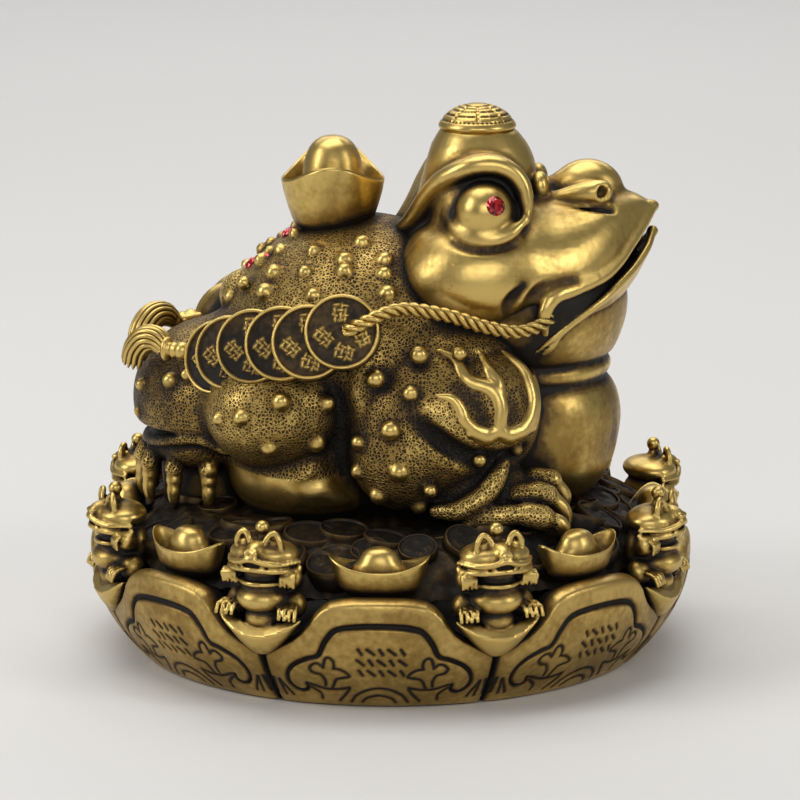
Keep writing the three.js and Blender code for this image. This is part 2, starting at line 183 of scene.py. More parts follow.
def blurred(field, radius):
    """A field smoothed by two rounds of the mean over a cube of cells."""
    width = 2 * radius + 1
    for axis in (0, 1, 2, 0, 1, 2):
        pad = [(radius + 1, radius) if a == axis else (0, 0) for a in range(3)]
        total = np.cumsum(np.pad(field, pad, mode="edge"), axis=axis, dtype=np.float64)
        total = np.moveaxis(total, axis, 0)
        field = np.moveaxis((total[width:] - total[:-width]) / width, 0, axis)
    return field


class Casting:
    """A grid of distances to a surface, negative inside."""

    def __init__(self, low, high, step):
        self.step = step * COARSE
        self.first = np.floor(np.array(low, float) / self.step).astype(int)
        self.count = np.ceil(np.array(high, float) / self.step).astype(int) - self.first + 1
        self.distance = np.full(self.count, FAR, np.float32)
        self.transform = openvdb.createLinearTransform(voxelSize=self.step)

    def window(self, low, high):
        """The cells within reach of a box, and their x, y and z."""
        start = np.floor((np.array(low) - FAR) / self.step).astype(int) - self.first
        stop = np.ceil((np.array(high) + FAR) / self.step).astype(int) - self.first + 1
        start = np.clip(start, 0, self.count - 1)
        stop = np.clip(stop, start + 1, self.count)
        axes = [(np.arange(a, b) + f) * self.step for a, b, f in zip(start, stop, self.first)]
        place = tuple(slice(a, b) for a, b in zip(start, stop))
        return place, *np.ix_(*axes)

    def merge(self, place, distance, soft, cut):
        here = self.distance[place]
        if cut:
            self.distance[place] = -smooth_min(-here, distance, soft)
        else:
            self.distance[place] = smooth_min(here, distance, soft)

    def ellipsoid(self, centre, radii, soft=0.0, cut=False, turn=None):
        centre, radii = np.array(centre, float), np.array(radii, float)
        reach = radii if turn is None else np.full(3, radii.max())
        place, *axes = self.window(centre - reach, centre + reach)
        local = [axis - c for axis, c in zip(axes, centre)]
        if turn is not None:
            rows = np.array(Euler([math.radians(a) for a in turn]).to_matrix()).T
            local = [sum(row[i] * local[i] for i in range(3)) for row in rows]
        near = np.sqrt(sum((v / r) ** 2 for v, r in zip(local, radii)))
        far = np.sqrt(sum((v / (r * r)) ** 2 for v, r in zip(local, radii)))
        self.merge(place, near * (near - 1) / np.maximum(far, 1e-4), soft, cut)

    def ball(self, centre, radius, soft=0.0):
        self.ellipsoid(centre, (radius,) * 3, soft)

    def tube(self, points, soft=0.0, cut=False):
        """A round bar straight from place to place of [x, y, z, radius]."""
        p = np.asarray(points, float)
        reach = p[:, 3].max()
        place, x, y, z = self.window(p[:, :3].min(0) - reach, p[:, :3].max(0) + reach)
        best = np.full(np.broadcast(x, y, z).shape, FAR * 3)
        for a, b in zip(p[:-1], p[1:]):
            d = b - a
            t = ((x - a[0]) * d[0] + (y - a[1]) * d[1] + (z - a[2]) * d[2]) / (d[:3] @ d[:3] + 1e-9)
            t = np.clip(t, 0, 1)
            off = (x - a[0] - t * d[0]) ** 2 + (y - a[1] - t * d[1]) ** 2 + (z - a[2] - t * d[2]) ** 2
            best = np.minimum(best, np.sqrt(off) - a[3] - t * d[3])
        self.merge(place, best, soft, cut)

    def bar(self, points, count, side=1, soft=0.0, cut=False, radius=None):
        """A smooth round bar through places of [x, y, z, radius], or of [x, y, z] when a radius is given."""
        line = smooth_route(mirrored(points, side), count)
        self.tube(line if radius is None else swept(line, radius), soft, cut)

    def form(self, skin, soft=0.0):
        """A closed skin of (vertices, quads)."""
        vertices, quads = skin
        grid = openvdb.FloatGrid.createLevelSetFromPolygons(
            np.asarray(vertices, np.float32),
            quads=np.asarray(quads, np.uint32),
            transform=self.transform,
            halfWidth=FAR / self.step,
        )
        place, *_ = self.window(vertices.min(0), vertices.max(0))
        corner = [int(s.start + f) for s, f in zip(place, self.first)]
        distance = np.zeros([s.stop - s.start for s in place], np.float32)
        grid.copyToArray(distance, ijk=corner)
        self.merge(place, distance, soft, False)

    def sample(self, field, points):
        """A field of this grid's shape, read at points."""
        return between_cells(field, points / self.step - self.first)

    def skin(self):
        """The casting's surface as (vertices, quads)."""
        grid = openvdb.FloatGrid(FAR)
        grid.copyFromArray(self.distance, ijk=[int(f) for f in self.first])
        grid.transform = self.transform
        vertices, quads = grid.convertToQuads(isovalue=0.0)
        return vertices.astype(float), quads[:, ::-1].astype(int)


# Skins of (vertices, quads)

def grid_quads(rows, columns, closed=True):
    """Quads between rows of places; closed rows run around."""
    i, j = np.meshgrid(np.arange(rows - 1), np.arange(columns - (not closed)), indexing="ij")
    k = (j + 1) % columns
    corners = [i * columns + j, i * columns + k, (i + 1) * columns + k, (i + 1) * columns + j]
    return np.stack(corners, -1).reshape(-1, 4)


def ringed(rings):
    """The closed skin over rings of points, each end drawn to its middle."""
    rings = np.asarray(rings, float)
    count, size = rings.shape[:2]
    caps = []
    for start, middle in ((0, count * size), ((count - 1) * size, count * size + 1)):
        caps += [[middle, *(start + (a + b) % size for b in range(3))] for a in range(0, size, 2)]
    places = np.vstack([rings.reshape(-1, 3), rings[0].mean(0), rings[-1].mean(0)])
    return places, np.vstack([grid_quads(count, size), caps])


def turned_form(profile, centre, size=64):
    """A skin turned about +Z from [radius, height] pairs."""
    circle = np.stack([np.cos(turns(size)), np.sin(turns(size)), np.zeros(size)], 1)
    return ringed([circle * r + np.array(centre, float) + (0, 0, z) for r, z in profile])


def lofted_form(stations, square=2.0, count=60, size=64):
    """A skin along X through stations of [x, half width, top, widest height, underside]."""
    wave = np.stack([np.cos(turns(size)), np.sin(turns(size))])
    rise, spread = np.sign(wave) * np.abs(wave) ** (2 / square)
    rings = []
    for x, half, top, widest, under in smooth_route(stations, count):
        z = widest + rise * np.where(rise > 0, top - widest, widest - under)
        rings.append(np.stack([np.full(size, x), half * spread, z], 1))
    return ringed(rings)


def stacked_form(levels, centre_x, count=60, size=64):
    """A skin along Z through levels of [height, half width along X, half depth along Y]."""
    along, across = np.cos(turns(size)), np.sin(turns(size))
    rings = []
    for z, half, depth in smooth_route(levels, count):
        rings.append(np.stack([centre_x + half * along, depth * across, np.full(size, z)], 1))
    return ringed(rings)


def joined(skins):
    """Several skins of (vertices, quads, ink) as one; ink says how dark each place is."""
    vertices, quads, inks = zip(*skins)
    starts = np.cumsum([0, *map(len, vertices)])
    quads = np.vstack([q + start for q, start in zip(quads, starts)])
    return np.vstack(vertices), quads, np.concatenate(inks)


def unit(vectors):
    return vectors / np.linalg.norm(vectors, axis=1)[:, None]


def route_axes(places, up):
    """Two directions square to a route at each of its places, the first also square to up."""
    tangent = unit(np.gradient(places, axis=0))
    across = unit(np.cross(tangent, up))
    return across, np.cross(across, tangent)


def thread_rings(line, radii, across, over, size):
    """Rings of places around a line, in the directions across and over."""
    angle = turns(size)
    return np.array([
        place + radius * (np.outer(np.cos(angle), a) + np.outer(np.sin(angle), o))
        for place, radius, a, o in zip(line, radii, across, over)
    ])


def vertex_normals(vertices, quads):
    a, b, c, d = (vertices[quads[:, i]] for i in range(4))
    face = np.cross(c - a, d - b)
    normals = np.zeros_like(vertices)
    for i in range(4):
        np.add.at(normals, quads[:, i], face)
    return normals / np.maximum(np.linalg.norm(normals, axis=1), 1e-9)[:, None]


def facing_out(vertices, quads):
    """A closed skin with its faces turned outward."""
    a, b, c, d = (vertices[quads[:, i]] for i in range(4))
    volume = np.sum(a * np.cross(b, c)) + np.sum(a * np.cross(c, d))
    return vertices, (quads if volume > 0 else quads[:, ::-1])


# The head. Its folds and grooves are given for the left side, and the dark wax and painted shade follow them
# too

LID_FOLD = [(21.4, 43.5, 99.6), (27.4, 46.6, 97.2), (35.6, 47.2, 96.8), (43.4, 45, 98.8), (48.4, 42.4, 103)]
NOSE_GROOVE = [(54, 14, 104.8), (62, 16.4, 105), (70, 18, 105.4), (78, 17.6, 106.4)]
NEAR_FOLD = [(66, 40, 85.4), (60, 44, 85.2), (54.6, 46.2, 83.6), (50.6, 46.6, 80), (48.6, 46.2, 74.6),
             (48.2, 44.4, 67)]
FAR_FOLD = [(46.4, 48, 84.4), (43, 48.4, 80), (41, 47.6, 74.6), (41, 46, 69)]
# Painted shade follows the mouth's gap, the jaw's corner and the socket's roof
MOUTH_GAP = [(76, 29, 80), (68, 35.5, 75.6), (60, 39.6, 72), (54.6, 41, 67), (51.4, 41.8, 61), (50, 42, 55)]
JAW_CORNER = [(42, 47.5, 70.5), (48, 46.5, 70.5), (53, 44, 68)]
SOCKET_ROOF = [(20.4, 37, 106), (21.4, 38, 112), (25.6, 38.6, 118), (32.6, 39, 120.6), (39.6, 39, 119),
               (44, 39, 114.4), (45, 39.4, 109)]


def sculpt_head():
    """The polished head and its brows."""
    head = Casting(low=(-8, -58, 46), high=(101, 58, 142), step=0.78)
    head.form(lofted_form([
        [6, 0, 87, 87, 87], [8, 25, 98, 87, 76], [20, 43, 106, 86, 66], [35, 48.5, 110.5, 86, 64],
        [48, 47, 110.5, 84, 69], [56, 44, 110, 80.5, 76.5], [66, 38, 110, 81.5, 80], [77, 28, 111, 87, 86],
        [85, 17, 110.3, 93, 92], [90.7, 8, 108, 99.5, 98.8], [94.8, 0, 104.7, 104.6, 104.5],
    ], square=2.3))
    head.form(lofted_form([
        [36, 26, 57, 52, 46], [46, 35, 59, 56, 48], [54.8, 39, 62.5, 60, 52], [62, 37.8, 68.5, 66.5, 57],
        [74.6, 30.5, 77, 75.5, 66], [81.4, 23.5, 81.6, 80.4, 72], [87, 15.5, 86, 84.8, 78.5],
        [91.6, 8, 91.4, 90.2, 86.5], [94, 0, 95.4, 95.2, 95],
    ], square=2.2), soft=1.0)
    # The flesh behind the parted lips, darkened with painted shade
    head.form(lofted_form([
        [20, 20, 84, 72, 60], [40, 37, 86, 74, 58], [56, 34.5, 86, 73, 60], [68, 27, 88, 78, 68],
        [78, 18, 92, 84, 76], [86, 8, 96, 90, 84], [89, 1, 93, 92, 91],
    ]), soft=1.5)
    head.form(turned_form([
        [25, 92], [23, 104], [20.6, 113], [18.6, 121], [16.6, 127.5], [14.6, 131], [13.4, 133],
    ], (31.2, 0, 0)), soft=5)
    head.ellipsoid((38, 0, 117), (14, 17.5, 15.5), soft=3)
    for side in SIDES:
        head.ellipsoid((27, 27 * side, 84), (24, 22.5, 19.5), soft=8)
        head.ellipsoid((32, 24 * side, 108), (17, 15, 15.5), soft=5)
        head.ellipsoid((32.6, 46 * side, 111.6), (14.8, 12, 12.9), soft=2, cut=True)
        brow(head, side)
        head.ball(EYE * (1, side, 1), EYE_RADIUS + 0.6, soft=0.3)
        eyelids(head, side)
        nose(head, side)
        lips(head, side)
    head.ellipsoid((70.5, 0, 110.5), (13, 10, 11.4), soft=3)
    head.ellipsoid((60, 0, 108), (12, 6, 7.5), soft=4)
    head.tube(ring_places((CROWN_X, 0, 132.9), 14.2, 0.7), soft=0.6, cut=True)
    return head


def brow(head, side):
    """The hood over an eye: a thick arched roll whose back end runs down in behind the head."""
    ridge = [
        (-1.5, 6, 91.6, 2.8), (2, 9, 94.9, 3), (5.8, 13, 99.5, 3.2), (9.4, 17.5, 105, 3.4),
        (13, 23, 111.6, 3.5), (17.8, 29.4, 118.2, 3.6), (24.1, 34, 122.6, 3.6), (31, 36, 125, 3.6),
        (37.9, 36.2, 124.8, 3.5), (43, 36.2, 122.2, 3.3), (46.2, 36.4, 117.6, 3.1), (47.4, 37, 112, 2.7),
        (47.6, 38, 107.4, 1.8),
    ]
    head.bar(ridge, 48, side, soft=2.5)
    # The hood's top runs in level from the ridge to the crown
    for share, drop in ((0.82, 1.0), (0.66, 2.4), (0.5, 3.8)):
        inner = [(x + (CROWN_X - x) * 0.12, y * share, z - drop, 4.2) for x, y, z, _ in ridge[1:-2]]
        head.bar(inner, 36, side, soft=3.5)


def eyelids(head, side):
    """A soft lower lid that hugs the eyeball, and the fold under it."""
    lower = [(20.4, 34.6, 106.6, 0.7), (23, 39.4, 103.4, 1.6), (29, 43.4, 101, 2.4), (36, 44.4, 100.4, 2.7),
             (42, 43.2, 102.2, 2.3), (46.6, 40.6, 106, 1.3)]
    head.bar(lower, 26, side, soft=4)
    head.bar(LID_FOLD, 20, side, soft=2.2, cut=True, radius=0.8)


def nose(head, side):
    """A tube with a shallow oval opening, the knob behind it and the hollow beneath it."""
    tube = [(53.4, 9.5, 108, 1.8), (60, 11, 109.4, 3), (66.6, 12.6, 111, 3.9), (71.6, 13.6, 111.9, 4.4),
            (74.6, 13.9, 112.1, 4.3)]
    head.bar(tube, 16, side, soft=1.8)
    head.ellipsoid((75.4, 18 * side, 112.6), (2, 3.4, 2.9), soft=0.6, cut=True, turn=(0, 14, -20 * side))
    head.ellipsoid((53.2, 10 * side, 113.4), (3.6, 4.8, 5.6), soft=2.5)
    head.bar(NOSE_GROOVE, 16, side, soft=2.5, cut=True, radius=1.2)
    above = [(57, 8.4, 113), (64, 10.6, 115.6), (71, 11.6, 117)]
    head.bar(above, 12, side, soft=1.6, cut=True, radius=0.9)


def lips(head, side):
    """A rolled upper edge that curls at the corner, two folds behind it, and the jaw's thin edge."""
    lip = [(94.2, 0.5, 105, 1.1), (90.7, 7, 100, 1.5), (85, 16, 93.4, 1.8), (80.7, 22.5, 88.2, 1.9),
           (74.6, 29.6, 84, 2), (64.5, 38, 81.2, 2.2), (58.4, 42, 79.8, 2.5), (54.8, 43.6, 76.4, 2.7),
           (53.6, 43.4, 71.4, 2.4), (54.2, 42, 66.5, 1.4)]
    head.bar(lip, 48, side, soft=3)
    swell = np.sin(np.linspace(0, math.pi, 26))
    for fold, depth in ((NEAR_FOLD, 2.4), (FAR_FOLD, 2.2)):
        head.bar(fold, 26, side, soft=1.4, cut=True, radius=0.6 + depth * swell)
    edge = [(94, 0.4, 95.8, 1.4), (91.6, 8.2, 91.2, 1.4), (87, 15.8, 85.7, 1.4), (81.4, 23.6, 81.2, 1.3),
            (74.6, 30.8, 76.4, 1.3), (66.4, 36, 71.2, 1.2), (58.4, 39.6, 65.6, 1), (51, 40, 59, 0.5)]
    head.bar(edge, 40, side, soft=2.6)


# The crown: a low coned cap with a ring and eight cells of bars around it

CAP_PROFILE = [
    [11.8, 131.6], [13.2, 132.8], [13.9, 133.6], [13.9, 134.5], [12.8, 136.3], [10.8, 138.6], [8, 140.4],
    [5, 141.4], [2.4, 141.9], [0, 142],
]


def sculpt_cap():
    cap = Casting(low=(14, -17, 129), high=(48, 17, 144), step=0.42)
    cap.form(turned_form(CAP_PROFILE, (CROWN_X, 0, 0)))
    for line, width in cap_lines():
        cap.tube(swept(line, width), soft=0.15, cut=True)
    return cap


def cap_lines():
    """Grooves of the cap: two rings, the cells' edges, and three whole or broken bars in each."""
    def height(r):
        return np.interp(r, [0, 5, 8, 10.8, 12.8, 13.9], [142, 141.4, 140.4, 138.6, 136.3, 134.5])

    def arc(reach, start, stop, count):
        angle = np.radians(np.linspace(start, stop, count))
        x, y = CROWN_X + reach * np.cos(angle), reach * np.sin(angle)
        return np.c_[x, y, np.full(count, height(reach))]

    lines = [(arc(4.4, 0, 360, 25), 0.45), (arc(12.7, 0, 360, 49), 0.4)]
    spokes = np.linspace(5.2, 12.7, 6)
    for cell in range(8):
        middle = 45 * cell + 22.5
        turn = math.radians(middle + 22.5)
        edge = np.c_[CROWN_X + spokes * math.cos(turn), spokes * math.sin(turn), height(spokes)]
        lines.append((edge, 0.5))
        for row, reach in enumerate((6.6, 8.8, 10.9)):
            broken = (cell >> row) & 1
            for start, stop in ((-16, -3), (3, 16)) if broken else ((-16, 16),):
                lines.append((arc(reach, middle + start, middle + stop, 5), 0.42))
    return lines


def sculpt_throat():
    """The two polished bulges between jaw and bed."""
    throat = Casting(low=(-2, -50, -8), high=(92, 50, 98), step=1.1)
    throat.form(stacked_form([
        [-5, 18, 19], [2, 27, 28], [12, 34, 36], [26, 37.1, 38], [34, 36.9, 37.5], [40.5, 34.8, 36],
        [44.6, 31.6, 33.5], [46.6, 33.2, 35], [49.6, 33.4, 35], [51.8, 31.9, 33.5], [54, 34.4, 36.5],
        [59.5, 37, 40], [67, 39, 42.5], [74, 39.2, 43], [80, 37.5, 41], [86, 31, 34], [91, 18, 20],
        [93, 1, 1],
    ], 46, count=110))
    return throat


# The body

WARTS = [
    (-39, 13, 91, 2.6), (-43, 9, 90, 2.2), (-46, 11, 87, 2.8), (-41, 25, 85, 3.2), (-27, 26, 93, 2.4),
    (-16, 33, 91, 3.1), (-16, 38, 88, 3), (-10, 26, 96, 3), (-2, 33, 91, 3), (-2, 38, 87, 2.6),
    (-30, 34, 87, 2.4), (-44, 30, 79, 3.4), (-57, 7, 73, 2.8), (-27, 42, 80, 2.8), (-1, 44, 81, 3.2),
    (-38, 61, 46, 3.2), (-52, 59, 40, 2.8), (-60, 52, 38, 2.4), (-42, 58, 29, 3), (-26, 54, 30, 3.6),
    (-22, 54, 44, 3), (7, 66, 50, 2.9), (-5, 60, 54, 3.4), (10, 58, 62, 3.4), (0, 66, 37, 3.6),
    (-11, 58, 31, 2.8), (3, 65, 22, 3.4), (-11, 55, 20, 3), (14, 64, 15, 2.6), (-4, 57.6, 12, 3.4),
    (10, 57, 8, 3), (31, 60, 25, 2.6), (44, 52, 27, 2.4), (24, 55, 62, 2.8), (-89, 17, 43, 2.4),
    (-78, 29, 47, 3), (-90, 15, 33, 2.2), (-72, 33, 50, 2.2), (-34, 8, 96, 2.4), (-20, 6, 99.5, 2.6),
    (-52, 18, 80, 2.6), (-62, 20, 68, 2.4),
]
ARM_CREASE = [(0, 67.5, 50), (4, 67.5, 45.5), (11, 67, 38.4), (17.6, 65, 33), (23.5, 63.2, 28.6),
              (30, 61, 25.6), (37, 58, 24.4), (46, 51, 26)]


def sculpt_body():
    """Skin, limbs, feet and warts; finer pits come from the material."""
    body = Casting(low=(-97, -76, -9), high=(68, 76, 104), step=1.1)
    for (centre, radii), soft in (
        (BACK, 0), (((-50, 0, 42), (27, 48, 25)), 6), (RUMP, 6), (((20, 0, 60), (34, 53, 16)), 4),
        (((-28, 0, 16), (33, 54.5, 29)), 4), (((8, 0, 24), (40, 46, 44)), 6),
    ):
        body.ellipsoid(centre, radii, soft)
    body.ball((-52, 0, 72.5), 9.6, soft=1.5)
    for side in SIDES:
        # A deep gap is left behind the arm before the arm goes on
        gap = [(-16, 57, 62, 4), (-21, 58, 50, 7), (-20, 58, 38, 8), (-17, 56, 24, 8), (-8, 52, 11, 7),
               (6, 50, 3, 5)]
        body.bar(gap, 24, side, soft=5, cut=True)
        elbow_hollow = ((6, 44, 26), (21, 22.5, 22.5))
        for (centre, radii), soft in ((FLANK, 2), (ELBOW, 1.5), (elbow_hollow, 3), (UPPER_ARM, 1)):
            body.ellipsoid(np.array(centre) * (1, side, 1), radii, soft)
        carve_flank(body, side)
        forearm(body, side)
        for x, y, z, radius in WARTS:
            body.ball((x, y * side, z), radius, soft=0.9)
    hind_foot(body)
    return body


def carve_flank(body, side):
    """Creases under the flank and between the arm's two masses."""
    lower = [(-66, 47, 27), (-58, 53, 21), (-44, 56, 16.5), (-30, 56, 14.5), (-20, 54, 19)]
    body.bar(lower, 24, side, soft=3, cut=True, radius=1.9)
    body.bar(swept(ARM_CREASE, (0.6, 1.8, 2.8, 3, 3, 2.8, 2.8, 2.4)), 30, side, soft=4, cut=True)


def forearm(body, side):
    """The roll of skin under the elbow, and a hand of pitted fingers with smooth nails."""
    body.ellipsoid((30, 46 * side, 11), (21, 13, 12), soft=2)
    roll = [(16, 58, 6.4, 2.6), (22.7, 60.6, 6.8, 3.6), (28.4, 60.6, 9.2, 4.1), (33.4, 59.4, 12.8, 4.1),
            (37, 57.4, 18, 3.7), (39.5, 54.6, 23, 2.6)]
    body.bar(roll, 22, side, soft=0.9)
    for finger in (
        [(29, 59, 3, 4.8), (37, 61.8, 5.2, 4.2), (44.4, 62.4, 6, 3.7)],
        [(47.6, 62.2, 6, 4.5), (52.8, 61.8, 4.8, 4.7)],
        [(36, 50, 8, 6), (44, 54, 10.8, 4.7), (49.6, 54.4, 11.6, 4.3)],
        [(51.4, 54.2, 11.8, 4.5), (54.8, 54, 10.8, 4.3)],
        [(40, 42, 12, 6), (48.4, 46, 13.6, 4.4)],
        [(50.6, 46.2, 15, 4.3), (56.6, 45.6, 14.6, 3.9)],
        [(36, 36, 12, 6), (46, 38, 13, 4.4), (52, 37.6, 13.5, 4)],
    ):
        body.tube(mirrored(finger, side), soft=0.6)
    for nail in (
        [(56.2, 61.4, 4.2, 2.8), (59.4, 61, 2.2, 3.1), (61, 60.4, -1.4, 2.4), (61.6, 60, -4.6, 1.3)],
        [(58, 53.6, 8.8, 2.8), (60.8, 53, 5.4, 2.8), (62, 52.6, 1.6, 2), (62.2, 52.2, -1.4, 1.2)],
        [(59.2, 45, 12, 2.6), (61.4, 44.4, 8.8, 2.5), (62, 44, 5, 1.3)],
        [(54, 37.4, 12, 2.6), (57, 37, 9, 2.4), (58.4, 36.8, 5, 1.4)],
    ):
        body.bar(nail, 8, side, soft=0.35)


def hind_foot(body):
    """The one hind foot: a fold and a thin roll of skin over a fan of knuckled toes with long nails."""
    body.ellipsoid((-71, 0, 23.5), (26, 44, 6.5), soft=2, cut=True)
    body.ellipsoid((-69, 0, 22), (18, 30, 12), soft=2)
    half = [(-86.6, 10, 21.6), (-82, 22, 23.4), (-75.5, 30, 25.6), (-69.9, 33, 26.6), (-64, 34.4, 25.6),
            (-58, 35, 23)]
    roll = [(x, -y, z) for x, y, z in half[::-1]] + [(-88, 0, 21)] + half
    body.bar(roll, 60, soft=0.8, radius=2.0)
    leg = [[17, -4.9], [17.5, 0], [18, 8], [18, 15], [14, 20], [1, 21]]
    body.form(turned_form(leg, (HIND_FOOT_X, 0, 0)), soft=1)
    for toe in range(7):
        angle = math.radians(30 * toe - 90)
        # Each bone of a toe, as [reach from the leg's middle, height, radius]
        for bone, soft in (
            ([(17, 19, 3.6), (23, 16.6, 3.7)], 0.6),
            ([(23.6, 15.6, 3.6), (24.8, 13.4, 3.5)], 0.4),
            ([(24.4, 10.4, 3), (24.9, 9.2, 3)], 0.4),
            ([(24.2, 7.4, 2.4), (25.2, 5.4, 2.7), (25.2, 2.2, 2.2), (24.4, -0.6, 1.5)], 0.3),
        ):
            places = [(HIND_FOOT_X - r * math.cos(angle), r * math.sin(angle), z, w) for r, z, w in bone]
            body.tube(places, soft=soft)


# The flames on the upper arm as (x, z, radius), and the dark skin between them

FLAMES = [
    [(16.2, 48.6, 1), (21.2, 47.4, 2), (24, 43.8, 2.6), (25.8, 39.2, 2.9), (29, 36, 3.2), (32.6, 34.3, 3.6)],
    [(16.9, 62.2, 0.9), (21.9, 59.8, 1.8), (24.3, 56.1, 2.5), (26.6, 52.6, 2.9), (30.4, 50.9, 3.1),
     (34.7, 49.4, 3.4), (37.1, 46.4, 3.4), (38.1, 42.3, 3.1), (37.6, 38, 3.2), (38.3, 34.8, 3.6)],
    [(30.4, 62, 0.8), (32.2, 58.8, 1.7), (34.7, 54.7, 2.5), (36.8, 51.6, 2.9), (37.4, 48.4, 3)],
    [(39, 60.5, 0.9), (42.6, 57.3, 2), (46.2, 53.4, 2.6), (48.1, 48.5, 3), (49, 43.2, 3), (47.7, 38, 3.1),
     (44.9, 34.4, 3.6)],
    [(47.4, 55.6, 1), (49.6, 50.4, 1.8), (50.6, 44, 2.2), (50.2, 38.8, 2.3), (48.4, 35, 2.9)],
    [(27.6, 35.4, 2.3), (32.6, 33.6, 3.8), (36.9, 35.2, 3.2), (40.5, 33.6, 3.8), (44.1, 34.2, 3.6),
     (48, 35.2, 3.2)],
]
FLAME_GAPS = [
    [(24, 62, 51), (28.5, 62, 46), (32.6, 61.5, 39.5)], [(26.5, 60, 60), (31.5, 60, 55)],
    [(36.6, 59, 57), (42, 59.5, 51), (43.2, 60, 45), (43, 59.5, 40)], [(49, 56, 51), (50.6, 55, 45)],
]


def sculpt_flames(body):
    """The flames on one upper arm: curling tongues that join in a scalloped band."""
    flames = Casting(low=(8, 34, 26), high=(60, 74, 70), step=0.56)
    out = np.arange(70, 25, -0.25)
    side = 60.0
    for line in FLAMES:
        spine = smooth_route([(x, 0, z, r) for x, z, r in line], 16)
        for place in spine:
            # The arm's skin is met from outside along Y
            probe = np.stack([np.full(len(out), place[0]), out, np.full(len(out), place[2])], 1)
            met = body.sample(body.distance, probe) < 0
            side = out[np.argmax(met)] if met.any() else side
            place[1] = side
        spine[1:-1, 1] = (spine[:-2, 1] + 2 * spine[1:-1, 1] + spine[2:, 1]) / 4
        spine[:, 1] -= 0.6 * spine[:, 3]
        flames.bar(spine, 40, soft=0.6)
    return flames


# Trim of the coin strings

def sculpt_trim():
    """The bound knot and bead at the back end of one coin string, and the tassel's core."""
    trim = Casting(low=(-97, 10, 44), high=(-60, 42, 72), step=0.6)
    core = [(-79, 25, 57.8, 2.4), (-84.2, 22.6, 60, 3.6), (-88.2, 19.6, 57.6, 3.8), (-90.4, 17, 53, 2.6)]
    trim.bar(core, 10, soft=0.8)
    trim.ellipsoid((-79.2, 26.4, 57.8), (2.1, 3.6, 4.6), soft=0.3, turn=(0, 0, 28))
    trim.ellipsoid((-76.6, 29.2, 58), (2, 2.6, 3), soft=0.5)
    trim.ellipsoid((-73.6, 31.4, 58.2), (2.9, 2.9, 3.2), soft=0.5)
    trim.tube([(-76, 28, 57.8, 2.2), (-64, 35, 58.5, 2.4)], soft=0.5)
    return trim


def tassel_strands():
    """The combed threads, laid side by side over the tassel's core, and how deep each place lies."""
    count, size = 20, 12
    core = smooth_route([
        (-79.6, 25.6, 57.8, 2.6), (-82.6, 24, 60.6, 3.8), (-86.4, 21.8, 60.4, 4.4), (-89.6, 19, 56.4, 4.6),
        (-91.2, 17, 50.6, 4.4),
    ], count)
    across, out = route_axes(core[:, :3], (0.5, -0.86, 0))
    width = np.interp(np.linspace(0, 1, count), [0, 0.5, 0.9, 1], [0.7, 1.1, 1.05, 0.3])
    skins = []
    for thread in range(11):
        lean = math.radians(24 * thread - 10)
        line = core[:, :3] + core[:, 3:] * (math.sin(lean) * across + math.cos(lean) * out)
        outward = np.cos(turns(size)) * math.sin(lean) + np.sin(turns(size)) * math.cos(lean)
        ink = np.tile(np.clip(2.0 * (0.92 - outward), 0, 1), count)
        skins.append((*ringed(thread_rings(line, width, across, out, size)), np.r_[ink, 0.5, 0.5]))
    return joined(skins)


CORD_RADIUS = 1.35
CORD_OFFSET = 1.3
CORD_LAY = 11
CORD_ROUTE = [
    (-15.6, 62.6, 71), (-9.5, 64, 74.4), (-2, 62.6, 77.4), (6, 59, 78.2), (20, 56, 75.5), (33, 53.2, 71),
    (44, 50, 68.6), (52, 46, 70), (56, 43, 72.5),
]


def cord_strands(side):
    """Three strands twisted round the cord's route, and how deep each place lies between them."""
    places = smooth_route(mirrored(CORD_ROUTE, side), 130)
    across, over = route_axes(places, (0, 0, 1))
    skins = []
    for strand in range(3):
        twist = 2 * math.pi * (path_lengths(places) / (CORD_LAY * side) + strand / 3)[:, None]
        centre = places + CORD_OFFSET * (np.cos(twist) * across + np.sin(twist) * over)
        rings = thread_rings(centre, [CORD_RADIUS] * len(places), across, over, 8)
        far = np.linalg.norm(rings - places[:, None], axis=2)
        near = 1 - np.clip((far - 0.5 * CORD_OFFSET) / (CORD_RADIUS + 0.5 * CORD_OFFSET), 0, 1)
        skins.append((*ringed(rings), np.r_[near.reshape(-1), 0.9, 0.9]))
    return joined(skins)


# Coins, whose legends are rows of short strokes

COIN_RADIUS = 13.2
COIN_FIELD = 11.5
COIN_STROKE_WIDTH = 0.45
COIN_STROKES = [
    ((-2.2, 2.5), (-0.6, 2.6)), ((0.4, 3), (0.5, 1.6)), ((1.4, 2.4), (2.6, 2.1)), ((-2, 1.4), (-1.9, 0.1)),
    ((-0.9, 0.7), (0.8, 0.6)), ((1.9, 1.1), (1.7, -0.3)), ((-2.5, -0.9), (-1, -1.3)),
    ((0.2, -0.5), (0.1, -1.9)), ((1.1, -1.3), (2.5, -1.2)), ((-1.7, -2.1), (-1.8, -3.2)),
    ((-0.7, -3), (0.8, -2.8)), ((1.8, -2.2), (1.7, -3.3)),
]
# Six string coins laid like fallen tiles along the flank: place and turn in degrees
STRING_COINS = [
    (-16.7, 61.4, 70.8, 3), (-28.2, 59.5, 66.8, 4), (-37.7, 56.4, 65.7, 10), (-48.2, 51.7, 63.8, 18),
    (-56.4, 46.1, 60.5, 26), (-61.3, 40.6, 57.8, 34),
]


